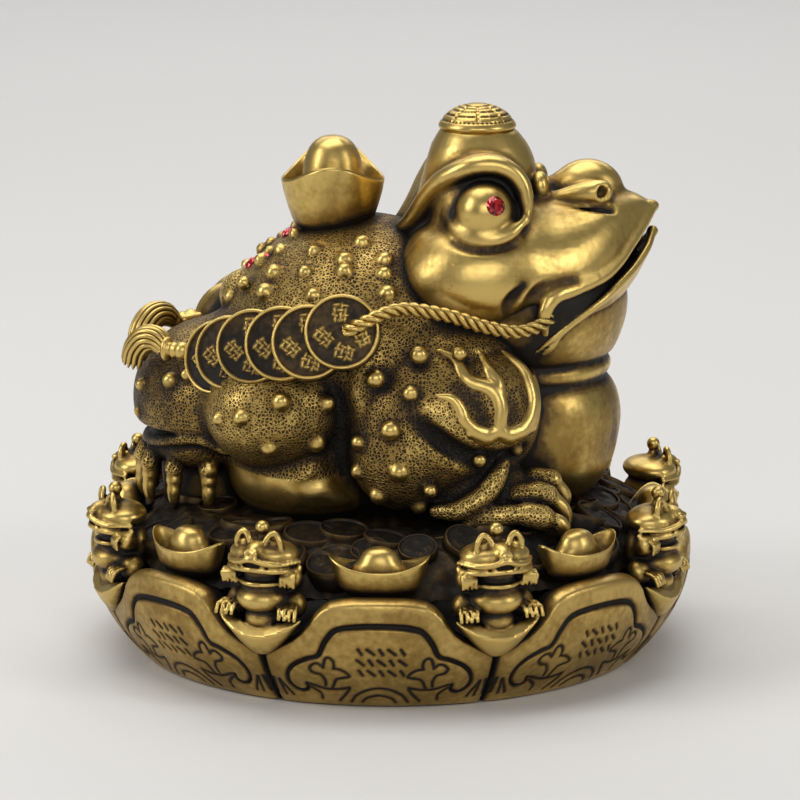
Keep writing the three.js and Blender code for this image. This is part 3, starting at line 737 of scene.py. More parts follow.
def coin_skin(size=96, rows=22):
    """A coin facing -Y: a raised rim, a dark field with four marks, and a body that runs back."""
    rim = [11.6, 11.85, 12.4, 12.8, 13.15, COIN_RADIUS, COIN_RADIUS]
    reach = np.r_[np.linspace(0.01, 11.4, rows), rim]
    face = np.r_[np.zeros(rows), -0.3, -0.9, -1.3, -1.15, -0.5, 3, 13]
    r, a = np.meshgrid(reach, turns(size), indexing="ij")
    x, z = r * np.cos(a), r * np.sin(a)
    far = 99.0
    for i, centre in enumerate(((-0.6, 6.9), (6.9, -1.4), (-6.4, -1.8), (0.8, -7))):
        for start, stop in COIN_STROKES:
            stroke = turned_about(np.array([(*start, 0), (*stop, 0)]), 25 * i)[:, :2] + centre
            far = np.minimum(far, line_distance(x, z, stroke))
    marks = bell(far / COIN_STROKE_WIDTH) * (r < 10.9)
    ink = np.where(r < COIN_FIELD, 1.1 - 0.74 * marks, 0.2)
    ink = np.where((r > COIN_FIELD) & (r < COIN_FIELD + 0.5), 0.85, ink)
    ink = np.where(r > COIN_RADIUS - 0.04, 0.9, ink)
    vertices, quads = ringed(np.stack([x, face[:, None] - 0.9 * marks, z], -1))
    return vertices, quads, np.r_[ink.reshape(-1), 0.9, 0.9]


def string_coins(side):
    skins = []
    for x, y, z, degrees in STRING_COINS:
        yaw = math.radians(degrees)
        vertices, quads, ink = coin_skin()
        turned = faced(vertices, (-math.sin(yaw), math.cos(yaw) * side, 0.26))
        skins.append((turned + (x, y * side, z), quads, ink))
    return joined(skins)


def bed_coins():
    """Loose coins heaped over the bed, each tipped its own way."""
    chance = np.random.default_rng(7)
    count = 54
    skins = []
    for i in range(count):
        inner = i % 2
        angle = 2 * math.pi * (i + 0.9 * chance.uniform(-1, 1)) / count
        reach = chance.uniform(66, 78) if inner else chance.uniform(80, 90)
        level = np.interp(reach, [79, 84, 90], [BED_LEVEL, BED_LEVEL - 2.6, 47.4])
        heading = np.array((math.cos(angle), math.sin(angle)))
        tip = heading * (0 if inner else 0.45) + chance.uniform(-0.24, 0.24, 2)
        vertices, quads, ink = coin_skin(26, 8)
        turned = faced(vertices, (*tip, 1)) * chance.uniform(0.5, 0.78)
        place = (*(reach * heading), level + chance.uniform(0, 1.8))
        skins.append((turned + place, quads, 0.58 + 0.36 * ink))
    return joined(skins)


# The small toads and ingots of the rim

def sculpt_rim_toad():
    """One small toad in its leaf cup, facing -Y; x runs along the rim."""
    toad = Casting(low=(-20, -14, 12), high=(20, 14, 72), step=0.72)
    toad.form(cup_skin(), soft=0.3)
    toad.ellipsoid((0, 0.8, 33.4), (6.6, 6.6, 4.9), soft=0.4)
    toad.ellipsoid((0, -0.4, 40.4), (9.1, 8.4, 5.3), soft=0.4)
    toad.ellipsoid((0, 6, 43), (10, 5.5, 11), soft=0.8)
    neck = [[8.2, 43], [7.3, 45.6], [6.8, 48.2], [7.2, 50], [6.4, 53]]
    toad.form(turned_form(neck, (0, 1, 0), size=32), soft=0.5)
    toad.tube(ring_places((0, 0.6, 46.2), 7.6, 0.9), soft=0.5)
    # Head: a broad flat face, a snout ridge, lips around a mouth line, brows and the pearl
    toad.ellipsoid((0, 1.5, 55.8), (12.4, 9.4, 4.7), soft=1)
    toad.ellipsoid((0, -2.6, 57.6), (3.6, 7.2, 3.6), soft=1.2)
    lip = [(-12.8, 1.5, 53.5), (-9.5, -4.8, 53.4), (-5, -8, 54), (0, -9.7, 55.6), (5, -8, 54),
           (9.5, -4.8, 53.4), (12.8, 1.5, 53.5)]
    lower = [(x * 1.02, y + 0.5, 51.2 + 0.35 * (z - 53.4)) for x, y, z in lip]
    mouth = [(x, y - 0.9, 52.4 + 0.6 * (z - 53.4)) for x, y, z in lip]
    toad.bar(lip, 30, soft=0.8, radius=1.15)
    toad.bar(lower, 30, soft=0.8, radius=1.05)
    toad.bar(mouth, 30, soft=0.5, cut=True, radius=0.6)
    for side in SIDES:
        flip = np.array((side, 1, 1, 1))
        toad.ellipsoid((5.4 * side, -2.2, 59.6), (1.8, 1.8, 2), soft=0.4)
        arch = [(8, -2.4, 57.6, 1.2), (8, -3, 61, 1.15), (6, -2.8, 63.8, 1.1), (3.8, -3.4, 62.4, 1.1),
                (2.6, -4, 59.6, 1.1)]
        toad.bar(arch * flip, 16, soft=0.4)
        toad.ball((1.6 * side, -9.2, 57.6), 1.1, soft=0.5)
        toad.tube(np.array([(7.6, 3, 45.6, 3), (11, 0.6, 48.2, 3.4)]) * flip, soft=0.8)
        toad.ellipsoid((10 * side, 3, 37.8), (4.8, 4.6, 4.8), soft=0.8)
        for i in range(4):
            x = 8.6 + 1.6 * i
            finger = [(x, -2.4, 51.4 - 0.5 * i, 0.7), (x + 0.2, -3.9, 48.6, 0.85), (x - 0.2, -3.4, 45.6, 0.7)]
            toad.tube(finger * flip, soft=0.2)
            x = 8.4 + 2 * i
            claw = [(x - 0.8, -1.4, 38.6, 1), (x + 0.2, -5, 37.6, 0.9), (x + 0.6, -6.3, 34.8, 0.7)]
            toad.tube(claw * flip, soft=0.2)
    toad.tube([(0, 0.6, 59, 2.6), (0, 0, 62, 1.7)], soft=0.5)
    toad.ball((0, 0, 64.8), 2.5, soft=0.25)
    return toad


def cup_skin():
    """The leaf cup: a full shell that rises from a point at the petals' joint, its rim thin."""
    across = np.sin(np.linspace(-math.pi / 2, math.pi / 2, 22))
    rings = []
    for height in np.linspace(0, 1, 16):
        half = 1.4 + 14.8 * height ** 0.7
        z = 20 + (7.6 + 6.8 * across ** 2) * height
        front = -(1 + 6.6 * height ** 0.6) * np.sqrt(np.maximum(1 - across ** 2 * 0.9, 0))
        outside = np.stack([half * across, front, z], 1)
        inside = np.stack([half * 0.92 * across, front + 1.7 + 6 * (1 - height), z - 0.2], 1)[::-1]
        rings.append(np.vstack([outside, inside]))
    return ringed(rings)


def ingot_skin(width, length, height, foot, lifts, bun, size=80, rows=72):
    """A boat-shaped ingot along Y, standing on z = 0. Foot and bun, the dome's width, are shares of its
    width, and lifts are how far each end is raised, as shares of its height.
    """
    profile = [
        (0, 0), (foot - 0.02, 0), (foot, 0.02), (foot + (1 - foot) * 0.4, 0.1),
        (foot + (1 - foot) * 0.68, 0.26), (0.95, 0.42), (0.985, 0.515), (1, 0.545), (0.985, 0.565),
        (0.955, 0.55), (0.92, 0.5), (0.84, 0.44), (bun + 0.08, 0.41), (bun + 0.02, 0.44), (bun, 0.54),
        (bun * 0.97, 0.65), (bun * 0.88, 0.78), (bun * 0.7, 0.9), (bun * 0.44, 0.97), (bun * 0.2, 0.995),
        (0, 1),
    ]
    r, z = np.maximum(smooth_route(profile, rows), 0).T
    along, across = np.sin(turns(size)), np.cos(turns(size))
    end = along ** 2
    lift = np.where(along < 0, *lifts) * end ** 1.3
    share = np.clip((r - bun - 0.04) / (0.96 - bun), 0, 1) ** 1.5 * (z > 0.05)
    dome = np.clip((bun + 0.06 - r) / 0.1, 0, 1) * (z > 0.3)
    stretch = 1 + (length / width - 1) * (1 - 0.75 * dome)
    x = np.outer(r, across) * (1 - 0.14 * np.outer(share, end)) * width / 2
    y = np.outer(r * stretch, along) * width / 2
    return ringed(np.stack([x, y, (z[:, None] + np.outer(share, lift)) * height], -1))


# The carving of a petal, as (along the wall, height); all but the ripples and dashes is mirrored

PANEL_DEPTH = 1.7
LINE_DEPTH = 0.6
LINE_WIDTH = 0.48
JOINT_DEPTH = 2.2
JOINT_WIDTH = 0.9
PANEL = [
    (0, 33.4), (5.8, 33.2), (11.6, 32.4), (15.1, 30.8), (18.2, 26.6), (20.6, 21.8), (24.8, 20.2), (30, 17.4),
    (33, 13.6), (33.2, 9.8), (31, 7.2), (28.4, 6.6), (26.4, 8), (26.6, 10),
]
BLOSSOM = [
    [(15.3, 17), (15.4, 19.7), (16.6, 21.2), (18, 20.9), (18.9, 18.7), (19.2, 17.1)],
    [(19.3, 17.3), (20.8, 18.6), (22.6, 18.4), (24.2, 16.6), (23, 14.9), (20.4, 14.1), (19.2, 11.8),
     (19.4, 9.4)],
    [(15.6, 17), (13.3, 16.6), (11.1, 15.3), (10.3, 13.8), (12.8, 13.2), (15.1, 12.4), (16.2, 10.4),
     (17.1, 8.5)],
    [(10.6, 9.2), (15.5, 8.1), (20.3, 8.3), (25.3, 10)],
    [(10.7, 8.7), (12.4, 6.1), (15.3, 2.9)],
    [(22, 3.5), (21.9, 5.8), (23.3, 7.2), (25.1, 8.6)],
]
GRASS = [
    [(36.8, 10.8), (33.4, 4.2)], [(37.1, 10.8), (36.3, 4.2)], [(39, 11.2), (39.6, 5)],
    [(39.3, 11.2), (41, 7)],
]
RIPPLES = [
    [(-10.8, 2.6), (-8.4, 5.8), (-4.2, 8.2), (0.4, 9), (4.8, 8.1), (8.6, 5.7), (10.8, 2.6)],
    [(-6.6, 2.6), (-4.4, 4.7), (0.2, 5.7), (4.4, 4.4), (6.2, 2.6)],
]


def blessing_dashes():
    """Rows of plain dashes where a blessing would stand."""
    dashes = []
    for row in range(3):
        for column in range(5):
            slant = 0.3 * (-1) ** (row + column)
            x, z = 3.6 * column - 7, 25 - 4.2 * row
            dashes.append([(x + slant, z), (x + 1.8 - slant, z - 2)])
    return dashes


def wall_radius(height):
    full = PETAL_HEIGHT * 0.9
    rise = 1 - (1 - np.minimum(height, full) / full) ** 2.2
    return WALL_RADIUS * (0.833 + 0.167 * rise)


def petal_top(share):
    """The petal's edge: a level crest, rounded shoulders and a low run out to the joint."""
    across = [0, 0.2, 0.3, 0.4, 0.47, 0.53, 0.58, 0.64, 0.72, 0.82, 0.92, 1.0]
    level = [PETAL_HEIGHT, 41.8, 41.3, 40.4, 38.8, 36.2, 33, 29.8, 27.2, 25, 22.6, 20.6]
    return np.interp(np.abs(share), across, level)


def carved_depth(along, height):
    """How deep the petal's broad groove and its fine lines are cut."""
    half = np.abs(along)
    panel = line_distance(half, height, smooth_route(PANEL, 60))
    thick = 0.6 + 0.3 * np.clip((height - 12) / 20, 0, 1)
    fine = 99.0
    for across, strokes in ((half, BLOSSOM + GRASS), (along, RIPPLES + blessing_dashes())):
        for stroke in strokes:
            line = smooth_route(stroke, 6 * len(stroke)) if len(stroke) > 2 else stroke
            fine = np.minimum(fine, line_distance(across, height, line))
    return PANEL_DEPTH * bell(panel / thick), LINE_DEPTH * bell(fine / LINE_WIDTH)


def petal_skin(number):
    """One petal's wall from foot to top and over to the ledge, and how dark its cut lines are."""
    step = 0.6 * COARSE
    half_width = CARVED_RADIUS * math.radians(HALF_PETAL)
    share = np.linspace(-1, 1, int(2 * half_width / step) + 1)
    along = share * half_width
    top = petal_top(share)
    height = np.linspace(0, 1, int(PETAL_HEIGHT / step) + 1)[:, None] * top
    broad, fine = carved_depth(along + 0 * height, height)
    to_joint = half_width - np.abs(along) + 0 * height
    below_top = (top - height) / np.sqrt(1 + np.gradient(top, along) ** 2)
    swell = 1.1 * (1 - np.exp(-np.minimum(to_joint, below_top) / 1.6))
    swell = swell + 0.35 * bell(along / 17) * bell((height - 20) / 13)
    joint = JOINT_DEPTH * bell(to_joint / JOINT_WIDTH)
    lip = 1.5 * np.clip(1 - below_top / 1.5, 0, 1) ** 2
    radius = np.minimum(wall_radius(height) + swell - broad - fine - joint - lip, WIDEST)
    ink = np.clip((broad / 1.5) ** 1.5 + fine / LINE_DEPTH + (joint / JOINT_DEPTH) ** 1.5, 0, 1)
    # Over the top, the petal turns in towards the ledge
    over = [(1.2, 0.35), (3, 0.5), (6, -0.6), (10, -2.2), (14, -5)]
    radius = np.vstack([radius, [radius[-1] - inward for inward, _ in over]])
    height = np.vstack([height, [top + rise for _, rise in over]])
    ink = np.vstack([ink, [np.clip(ink[-1] * 0.5 + inward / 14, 0, 1) for inward, _ in over]])
    # Under the foot, the wall turns in along the table
    radius = np.vstack([radius[0] - 30, radius[0] - 1.2, radius])
    height = np.vstack([0 * top, 0 * top, height])
    height[2:4] += [[0.5], [0.3]]
    ink = np.vstack([np.full((2, len(top)), 0.8), ink])
    turn = np.radians(PETAL_START + 2 * HALF_PETAL * number) + along / CARVED_RADIUS
    vertices = np.stack([radius * np.sin(turn), -radius * np.cos(turn), height], -1).reshape(-1, 3)
    return vertices, grid_quads(*radius.shape, closed=False), ink.reshape(-1)


def bed_skin():
    """The ground under the toad: a ledge that falls away in lumps from a dark bed."""
    step = 1.3 * COARSE
    reach = np.r_[0, 20, 40, np.arange(52, BED_EDGE, step), np.arange(BED_EDGE, 97.5, step * 0.8)]
    r, a = np.meshgrid(reach, turns(int(2 * math.pi * BED_EDGE / step)), indexing="ij")
    x, y = r * np.cos(a), r * np.sin(a)
    level = [BED_LEVEL, BED_LEVEL, BED_LEVEL - 2.4, 48.2, 38]
    height = np.interp(r, [0, BED_EDGE - 2, BED_EDGE + 3, 88, 97.5], level)
    lumps = np.sin(x * 0.55 + 2 * np.sin(y * 0.31)) * np.sin(y * 0.6 + 2 * np.sin(x * 0.27))
    height = np.minimum(height + 0.8 * lumps * (r > 30), BED_LEVEL + 1.6)
    ink = 0.9 - 0.12 * np.clip(lumps, 0, 1)
    quads = grid_quads(*r.shape)[:, [0, 3, 2, 1]]
    return np.stack([x, y, height], -1).reshape(-1, 3), quads, ink.reshape(-1)


# How enclosed each place is: the share of metal around it, which darkens hollows as patina and as painted
# shade where parts crowd each other

class Surroundings:
    """How much metal lies near each place, from coarse cubes filled by castings and the base."""

    def __init__(self, low=(-112, -112, -8), counts=(150, 150, 142), cell=1.5):
        self.cell = cell
        self.first = np.floor(np.array(low) / cell).astype(int)
        self.full = np.zeros(counts, bool)

    def add_base(self):
        x, y, z = np.ix_(*[(np.arange(n) + f) * self.cell for n, f in zip(self.full.shape, self.first)])
        radius = np.hypot(x, y)
        bearing = np.degrees(np.arctan2(x, -y)) - PETAL_START
        share = ((bearing + HALF_PETAL) % (2 * HALF_PETAL) - HALF_PETAL) / HALF_PETAL
        wall = (radius > 94) & (z < petal_top(share))
        ground = z < np.interp(radius, [0, BED_EDGE, 88, 99, 100], [BED_LEVEL, BED_LEVEL, 48, 38, 0])
        self.full |= (wall | ground) & (z > 0) & (radius < wall_radius(np.clip(z, 0, 60)) + 1)

    def add(self, casting, lift, degrees=0):
        spots = np.argwhere(casting.distance < 0)
        self.add_points(turned_about((spots + casting.first) * casting.step + lift, degrees))

    def add_points(self, points):
        at = np.round(points / self.cell).astype(int) - self.first
        inside = np.all((at >= 0) & (at < self.full.shape), axis=1)
        self.full[tuple(at[inside].T)] = True

    def settle(self):
        solid = self.full.astype(np.float32)
        near = blurred(solid, 1)
        self.share = (near * 0.45 + blurred(solid, 4) * 0.55).astype(np.float32)
        self.buried = near > 0.995

    def seen_part(self, vertices, quads, *values):
        """Leaves out the faces with metal all round them, which nobody sees."""
        at = np.round(vertices / self.cell).astype(int) - self.first
        at = np.clip(at, 0, np.array(self.full.shape) - 1)
        hidden = self.buried[tuple(at.T)]
        quads = without_crumbs(quads[~hidden[quads].all(axis=1)], len(vertices))
        kept, places = np.unique(quads, return_inverse=True)
        return vertices[kept], places.reshape(quads.shape), *(v if v is None else v[kept] for v in values)

    def at(self, points, normals):
        return between_cells(self.share, (points + normals * 2.4) / self.cell - self.first)


def without_crumbs(quads, count, fewest=100):
    """Leaves out parts of a skin that join only a few places."""
    label = np.arange(count)
    while True:
        lowest = label[quads].min(axis=1)
        spread = label.copy()
        for i in range(4):
            np.minimum.at(spread, quads[:, i], lowest)
        spread = spread[spread]
        if (spread == label).all():
            break
        label = spread
    sizes = np.bincount(label[np.unique(quads)], minlength=count)
    return quads[sizes[label[quads[:, 0]]] >= fewest]


# Pieces

def add_piece(name, vertices, quads, material, node, slot, patina_and_shade, skin=None, smooth=True, whole=False):
    """A Blender object from a skin in millimetres, with how dark and how pitted each place is."""
    if not whole:
        vertices, quads, patina_and_shade, skin = surroundings.seen_part(vertices, quads, patina_and_shade, skin)
    mesh = bpy.data.meshes.new(name)
    mesh.from_pydata((vertices * MM).tolist(), [], quads.tolist())
    mesh.validate()
    mesh.update()
    for label, values in (("patina_and_shade", patina_and_shade), ("skin", skin)):
        if values is not None:
            layer = mesh.attributes.new(label, "FLOAT", "POINT")
            layer.data.foreach_set("value", np.asarray(values, np.float32))
    if smooth:
        mesh.polygons.foreach_set("use_smooth", np.ones(len(mesh.polygons), bool))
    mesh.materials.append(material)
    piece = bpy.data.objects.new(name, mesh)
    bpy.context.scene.collection.objects.link(piece)
    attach(piece, "root")
    if node:
        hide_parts(node)


def patina_and_shade_of(vertices, quads, edge=0.0, hollow_gain=2.6, flat=0.22, edge_gain=0.5, extra=0.0):
    """How dark each place is, from the metal around it, its edge and what is added."""
    # The metal around each place darkens hollows as patina and as painted shade where parts crowd each other
    hollow = surroundings.at(vertices, vertex_normals(vertices, quads))
    return np.clip((hollow - flat) * hollow_gain - edge * edge_gain + extra, -0.3, 1.2)


def skin_piece(name, vertices, quads, material, node, slot, whole=False, **looks):
    """A closed skin as a piece."""
    vertices, quads = facing_out(vertices, quads)
    patina_and_shade = patina_and_shade_of(vertices, quads, **looks)
    add_piece(name, vertices, quads, material, node, slot, patina_and_shade, whole=whole)


def cast_piece(name, casting, material, node, slot, place, turn=0.0, side=1, pits=None, stain_and_shade=None, **looks):
    """A casting's surface as a piece, its ridges bright and its hollows dark with patina and painted shade.
    """
    vertices, quads = facing_out(*casting.skin())
    edge = casting.sample(blurred(casting.distance, 1), vertices) - casting.sample(casting.distance, vertices)
    pitted = pits(vertices) if pits else None
    if stain_and_shade:
        looks["extra"] = stain_and_shade(vertices)
    vertices = turned_about(vertices + place, turn)
    if side < 0:
        vertices, quads = vertices * (1, -1, 1), quads[:, ::-1]
    patina_and_shade = patina_and_shade_of(vertices, quads, edge, **looks)
    add_piece(name, vertices, quads, material, node, slot, patina_and_shade, pitted)


# Stains, painted shade and painted reflections, in the toad's own frame

def near_places(vertices, places, reach):
    """How close each vertex lies to some places: 1 on a place, fading to 0."""
    close = np.zeros(len(vertices))
    for place in places:
        far = ((vertices - place) ** 2).sum(axis=1)
        close = np.maximum(close, np.exp(-far / reach ** 2))
    return close


def near_lines(vertices, lines, reach):
    """The same for smooth lines that are given on the left and hold on both sides."""
    left = np.stack([vertices[:, 0], np.abs(vertices[:, 1]), vertices[:, 2]], 1)
    return near_places(left, np.vstack([smooth_route(line, 4 * len(line)) for line in lines]), reach)


def head_stain_and_shade(vertices):
    """Dark wax left in the folds of the mouth, under the nose and under the eyes, and painted shade in the
    mouth's gap and corner and under the brow in the eye socket.
    """
    folds = near_lines(vertices, (NEAR_FOLD, FAR_FOLD), 2.4)
    light = near_lines(vertices, (NOSE_GROOVE, LID_FOLD), 1.6)
    # Painted shade in the mouth's gap and the jaw's corner, and under the brow in the eye socket
    corner = np.maximum(near_lines(vertices, (MOUTH_GAP,), 4), near_lines(vertices, (JAW_CORNER,), 4.2))
    socket_shade = near_lines(vertices, (SOCKET_ROOF,), 3.6)
    return 0.9 * folds + 0.4 * light + 0.75 * corner + 0.75 * socket_shade - 0.02


def cap_stain(vertices):
    return 1.5 * near_places(vertices, np.vstack([line for line, _ in cap_lines()]), 0.75)


# Lines of painted dark reflection on the chest and of painted shade where the arm crowds the throat
SHADE_AND_REFLECTION = [[(80, 12, 42), (81, 14, 32), (78, 16, 22)], [(58, 34, 50), (56, 34, 34), (54, 33, 18)]]


def throat_shade_and_reflection(vertices):
    """Painted dark reflections on the chest, painted shade where the arm crowds the throat and under the
    mouth's corner, and dark bands in the waist.
    """
    z = vertices[:, 2]
    waist = bell((z - 44.6) / 2.2) + bell((z - 53.2) / 1.6)
    # Painted reflection and painted shade on the chest and under the mouth's corner
    reflection_and_shade = 0.3 * near_lines(vertices, SHADE_AND_REFLECTION, 8) + 0.7 * near_lines(vertices, (MOUTH_GAP,), 6)
    return 0.15 + 0.1 * np.clip((z - 50) / 6, 0, 1) + reflection_and_shade + 0.25 * waist


def bare_belly(x, y, z):
    return (x > -66) & (z < 17) & ((x < -11) | ((x < 12) & (np.abs(y) < 38)))


def body_stain_and_shade(vertices):
    """The bare belly is painted lighter against the shade under it; painted shadow lies along the arm's
    crease, and the other creases and the skin framed by the flames stay dark.
    """
    x, y, z = vertices.T
    # Painted light on the bare belly, which faces down into shade
    stain_and_shade = np.where(bare_belly(x, y, z), -0.12, 0.08)
    stain_and_shade = stain_and_shade - 0.1 * np.clip((z - 66) / 14, 0, 1) + 0.25 * np.clip((-70 - x) / 10, 0, 1)
    stain_and_shade = stain_and_shade + 0.5 * near_lines(vertices, FLAME_GAPS, 4)
    # Painted shadow along the crease where the arm's upper mass stands over the elbow
    stain_and_shade = stain_and_shade + 0.45 * near_lines(vertices, (ARM_CREASE,), 3.4)
    return stain_and_shade + 0.4 * bell((z - 24) / 4) * (x < -62)


def body_pits(vertices):
    """The pitted skin: all but the feet's nails, the warts and the bare belly."""
    x, y, z = vertices.T
    nails = (x > 58.6) | ((x > 55.6) & (z < 1)) | ((x < -50) & (z < 11.8)) | (z < -2)
    share = np.where(nails | bare_belly(x, y, z), 0.0, 1.0)
    for side in SIDES:
        for wx, wy, wz, radius in WARTS:
            near = np.sqrt((x - wx) ** 2 + (y - wy * side) ** 2 + (z - wz) ** 2)
            share *= np.clip((near - radius) / 0.8, 0, 1)
    return share


# Materials

# Colours from polished to darkest; the dark end serves both patina and painted shade
BRIGHT = (0.64, 0.455, 0.145)
WARM = (0.33, 0.215, 0.06)
BROWN = (0.1, 0.06, 0.021)
SOOT_AND_SHADE = (0.012, 0.0095, 0.007)


class Shading:
    """A material and its nodes; an input is a value or another node's output."""

    def __init__(self, name):
        self.material = bpy.data.materials.new(name)
        self.material.use_nodes = True
        self.tree = self.material.node_tree
        self.shader = self.tree.nodes["Principled BSDF"]

    def feed(self, node, inputs):
        for key, value in inputs.items():
            if isinstance(value, bpy.types.NodeSocket):
                self.tree.links.new(value, node.inputs[key])
            else:
                node.inputs[key].default_value = value

    def add(self, kind, inputs=(), **settings):
        node = self.tree.nodes.new(kind)
        for key, value in settings.items():
            setattr(node, key, value)
        self.feed(node, dict(inputs))
        return node.outputs

    def place(self):
        return self.add("ShaderNodeTexCoord")["Object"]

    def noise(self, place, scale, detail):
        return self.add("ShaderNodeTexNoise", {"Vector": place, "Scale": scale, "Detail": detail})

    def cells(self, place, scale, randomness=1.0, **settings):
        inputs = {"Vector": place, "Scale": scale, "Randomness": randomness}
        return self.add("ShaderNodeTexVoronoi", inputs, **settings)

    def math(self, operation, *values, clamp=False):
        return self.add("ShaderNodeMath", enumerate(values), operation=operation, use_clamp=clamp)[0]

    def added(self, value, weight, base):
        return self.math("MULTIPLY_ADD", value, weight, base)

    def spread(self, value, low, high, first, last):
        """A value from low to high brought to run from first to last."""
        return self.add("ShaderNodeMapRange", enumerate((value, low, high, first, last)))[0]

    def ramp(self, value, stops):
        node = self.tree.nodes.new("ShaderNodeValToRGB")
        self.feed(node, {"Fac": value})
        node.color_ramp.interpolation = "EASE"
        elements = node.color_ramp.elements
        while len(elements) < len(stops):
            elements.new(0.5)
        for element, (place, colour) in zip(elements, stops):
            element.position = place
            element.color = (*colour, 1)
        return node.outputs["Color"]


def brass(name, gloss, tint=(1, 1, 1), lean=0.0, brushed=0.5, pitted=False):
    """Cast brass: polished where patina and painted shade are low, brown then near black where they are high.
    """
    look = Shading(name)
    place = look.place()
    # Patina and painted shade, one value for each place
    patina_and_shade = look.add("ShaderNodeAttribute", attribute_name="patina_and_shade")["Fac"]
    broad = look.noise(place, 45, 3)[0]
    fine = look.noise(place, 420, 3)[0]
    dark = look.math("ADD", patina_and_shade, lean)
    for wave, weight in ((broad, 0.6), (fine, 0.34)):
        dark = look.added(look.math("SUBTRACT", wave, 0.5), weight, dark)
    # Casting pinholes, and the pits punched over the skin
    pins = look.spread(look.cells(place, 330)[0], 0.03, 0.11, 1.0, 0.0)
    pins = look.math("MULTIPLY", pins, look.spread(broad, 0.5, 0.62, 0.0, 1.0))
    dark = look.added(pins, 0.4, dark)
    height = look.math("MULTIPLY", pins, -0.35)
    if pitted:
        wobble = look.noise(place, 420, 1)["Color"]
        shift = look.add("ShaderNodeVectorMath", {0: wobble, "Scale": 0.001}, operation="SCALE")[0]
        moved = look.add("ShaderNodeVectorMath", {0: place, 1: shift}, operation="ADD")[0]
        edges = look.cells(moved, 860, 0.9, feature="DISTANCE_TO_EDGE")[0]
        skin = look.add("ShaderNodeAttribute", attribute_name="skin")["Fac"]
        pit = look.math("MULTIPLY", look.spread(edges, 0.08, 0.28, 0.0, 1.0), skin)
        dark = look.added(pit, 0.55, dark)
        height = look.added(pit, -1.6, height)
    dark = look.math("ADD", dark, 0.0, clamp=True)
    colours = [[c * t for c, t in zip(colour, tint)] for colour in (BRIGHT, WARM, BROWN, SOOT_AND_SHADE)]
    rough = look.added(look.math("SUBTRACT", fine, 0.5), 0.14, look.spread(dark, 0.0, 1.0, gloss, 0.56))
    lines = look.add("ShaderNodeMapping", {"Vector": place, "Scale": (900, 900, 70)})[0]
    height = look.added(look.noise(lines, 1.0, 2)[0], 0.16 * brushed, height)
    height = look.added(look.noise(place, 160, 2)[0], 0.6, height)
    bump = look.add("ShaderNodeBump", {"Strength": 0.6, "Distance": 0.0005, "Height": height})["Normal"]
    look.feed(look.shader, {
        "Base Color": look.ramp(dark, list(zip((0.05, 0.36, 0.64, 0.92), colours))),
        "Roughness": rough,
        "Metallic": look.spread(dark, 0.35, 1.0, 1.0, 0.55),
        "Normal": bump,
    })
    return look.material


def red_stone():
    """Foil-backed red glass, brighter in some facets."""
    look = Shading("red_stone")
    cells = look.cells(look.place(), 700)["Color"]
    bright = look.add("ShaderNodeSeparateColor", {"Color": cells})[0]
    reds = [(0.1, (0.1, 0.002, 0.005)), (0.55, (0.4, 0.006, 0.015)), (0.95, (0.7, 0.02, 0.03))]
    look.feed(look.shader, {
        "Base Color": look.ramp(bright, reds), "Roughness": 0.06, "Metallic": 0.55,
        "Coat Weight": 0.6, "Coat Roughness": 0.02, "IOR": 1.6,
    })
    return look.material


# Sculpt everything, then find how deep each place lies among its neighbours

head, cap, throat, body = sculpt_head(), sculpt_cap(), sculpt_throat(), sculpt_body()
flames, trim, rim_toad = sculpt_flames(body), sculpt_trim(), sculpt_rim_toad()

surroundings = Surroundings()
surroundings.add_base()
for casting in (head, throat, body):
    surroundings.add(casting, LIFT)

RIM_TOAD_PLACE = np.array((0, -RIM_TOAD_REACH, 0))
petal_turns = [PETAL_START + 2 * HALF_PETAL * i for i in range(PETALS)]
for turn in petal_turns:
    surroundings.add(rim_toad, RIM_TOAD_PLACE, turn + HALF_PETAL)

vertices, quads = ingot_skin(width=37.2, length=42.4, height=35, foot=21 / 37.2, lifts=(0.2, 0.36), bun=0.6)
back_ingot = (vertices + BACK_INGOT_PLACE, quads)
vertices, quads = ingot_skin(
    width=0.52 * RIM_INGOT_LENGTH, length=RIM_INGOT_LENGTH, height=0.46 * RIM_INGOT_LENGTH,
    foot=0.62, lifts=(0.3, 0.3), bun=0.66, size=48, rows=44,
)
vertices = turned_about(vertices, 90) + (0, -RIM_INGOT_REACH, RIM_INGOT_LEVEL)
rim_ingots = [(turned_about(vertices, turn), quads) for turn in petal_turns]
for vertices, _ in [back_ingot, *rim_ingots]:
    surroundings.add_points(vertices)
surroundings.settle()

polished = brass("polished_brass", gloss=0.32, lean=-0.02, brushed=0.3)
worn = brass("worn_brass", gloss=0.34, pitted=True)
petal_brass = brass("petal_brass", gloss=0.37, tint=(0.86, 0.84, 0.84), brushed=1.0)
ground = brass("ground_brass", gloss=0.4, tint=(0.7, 0.7, 0.75))
stone = red_stone()

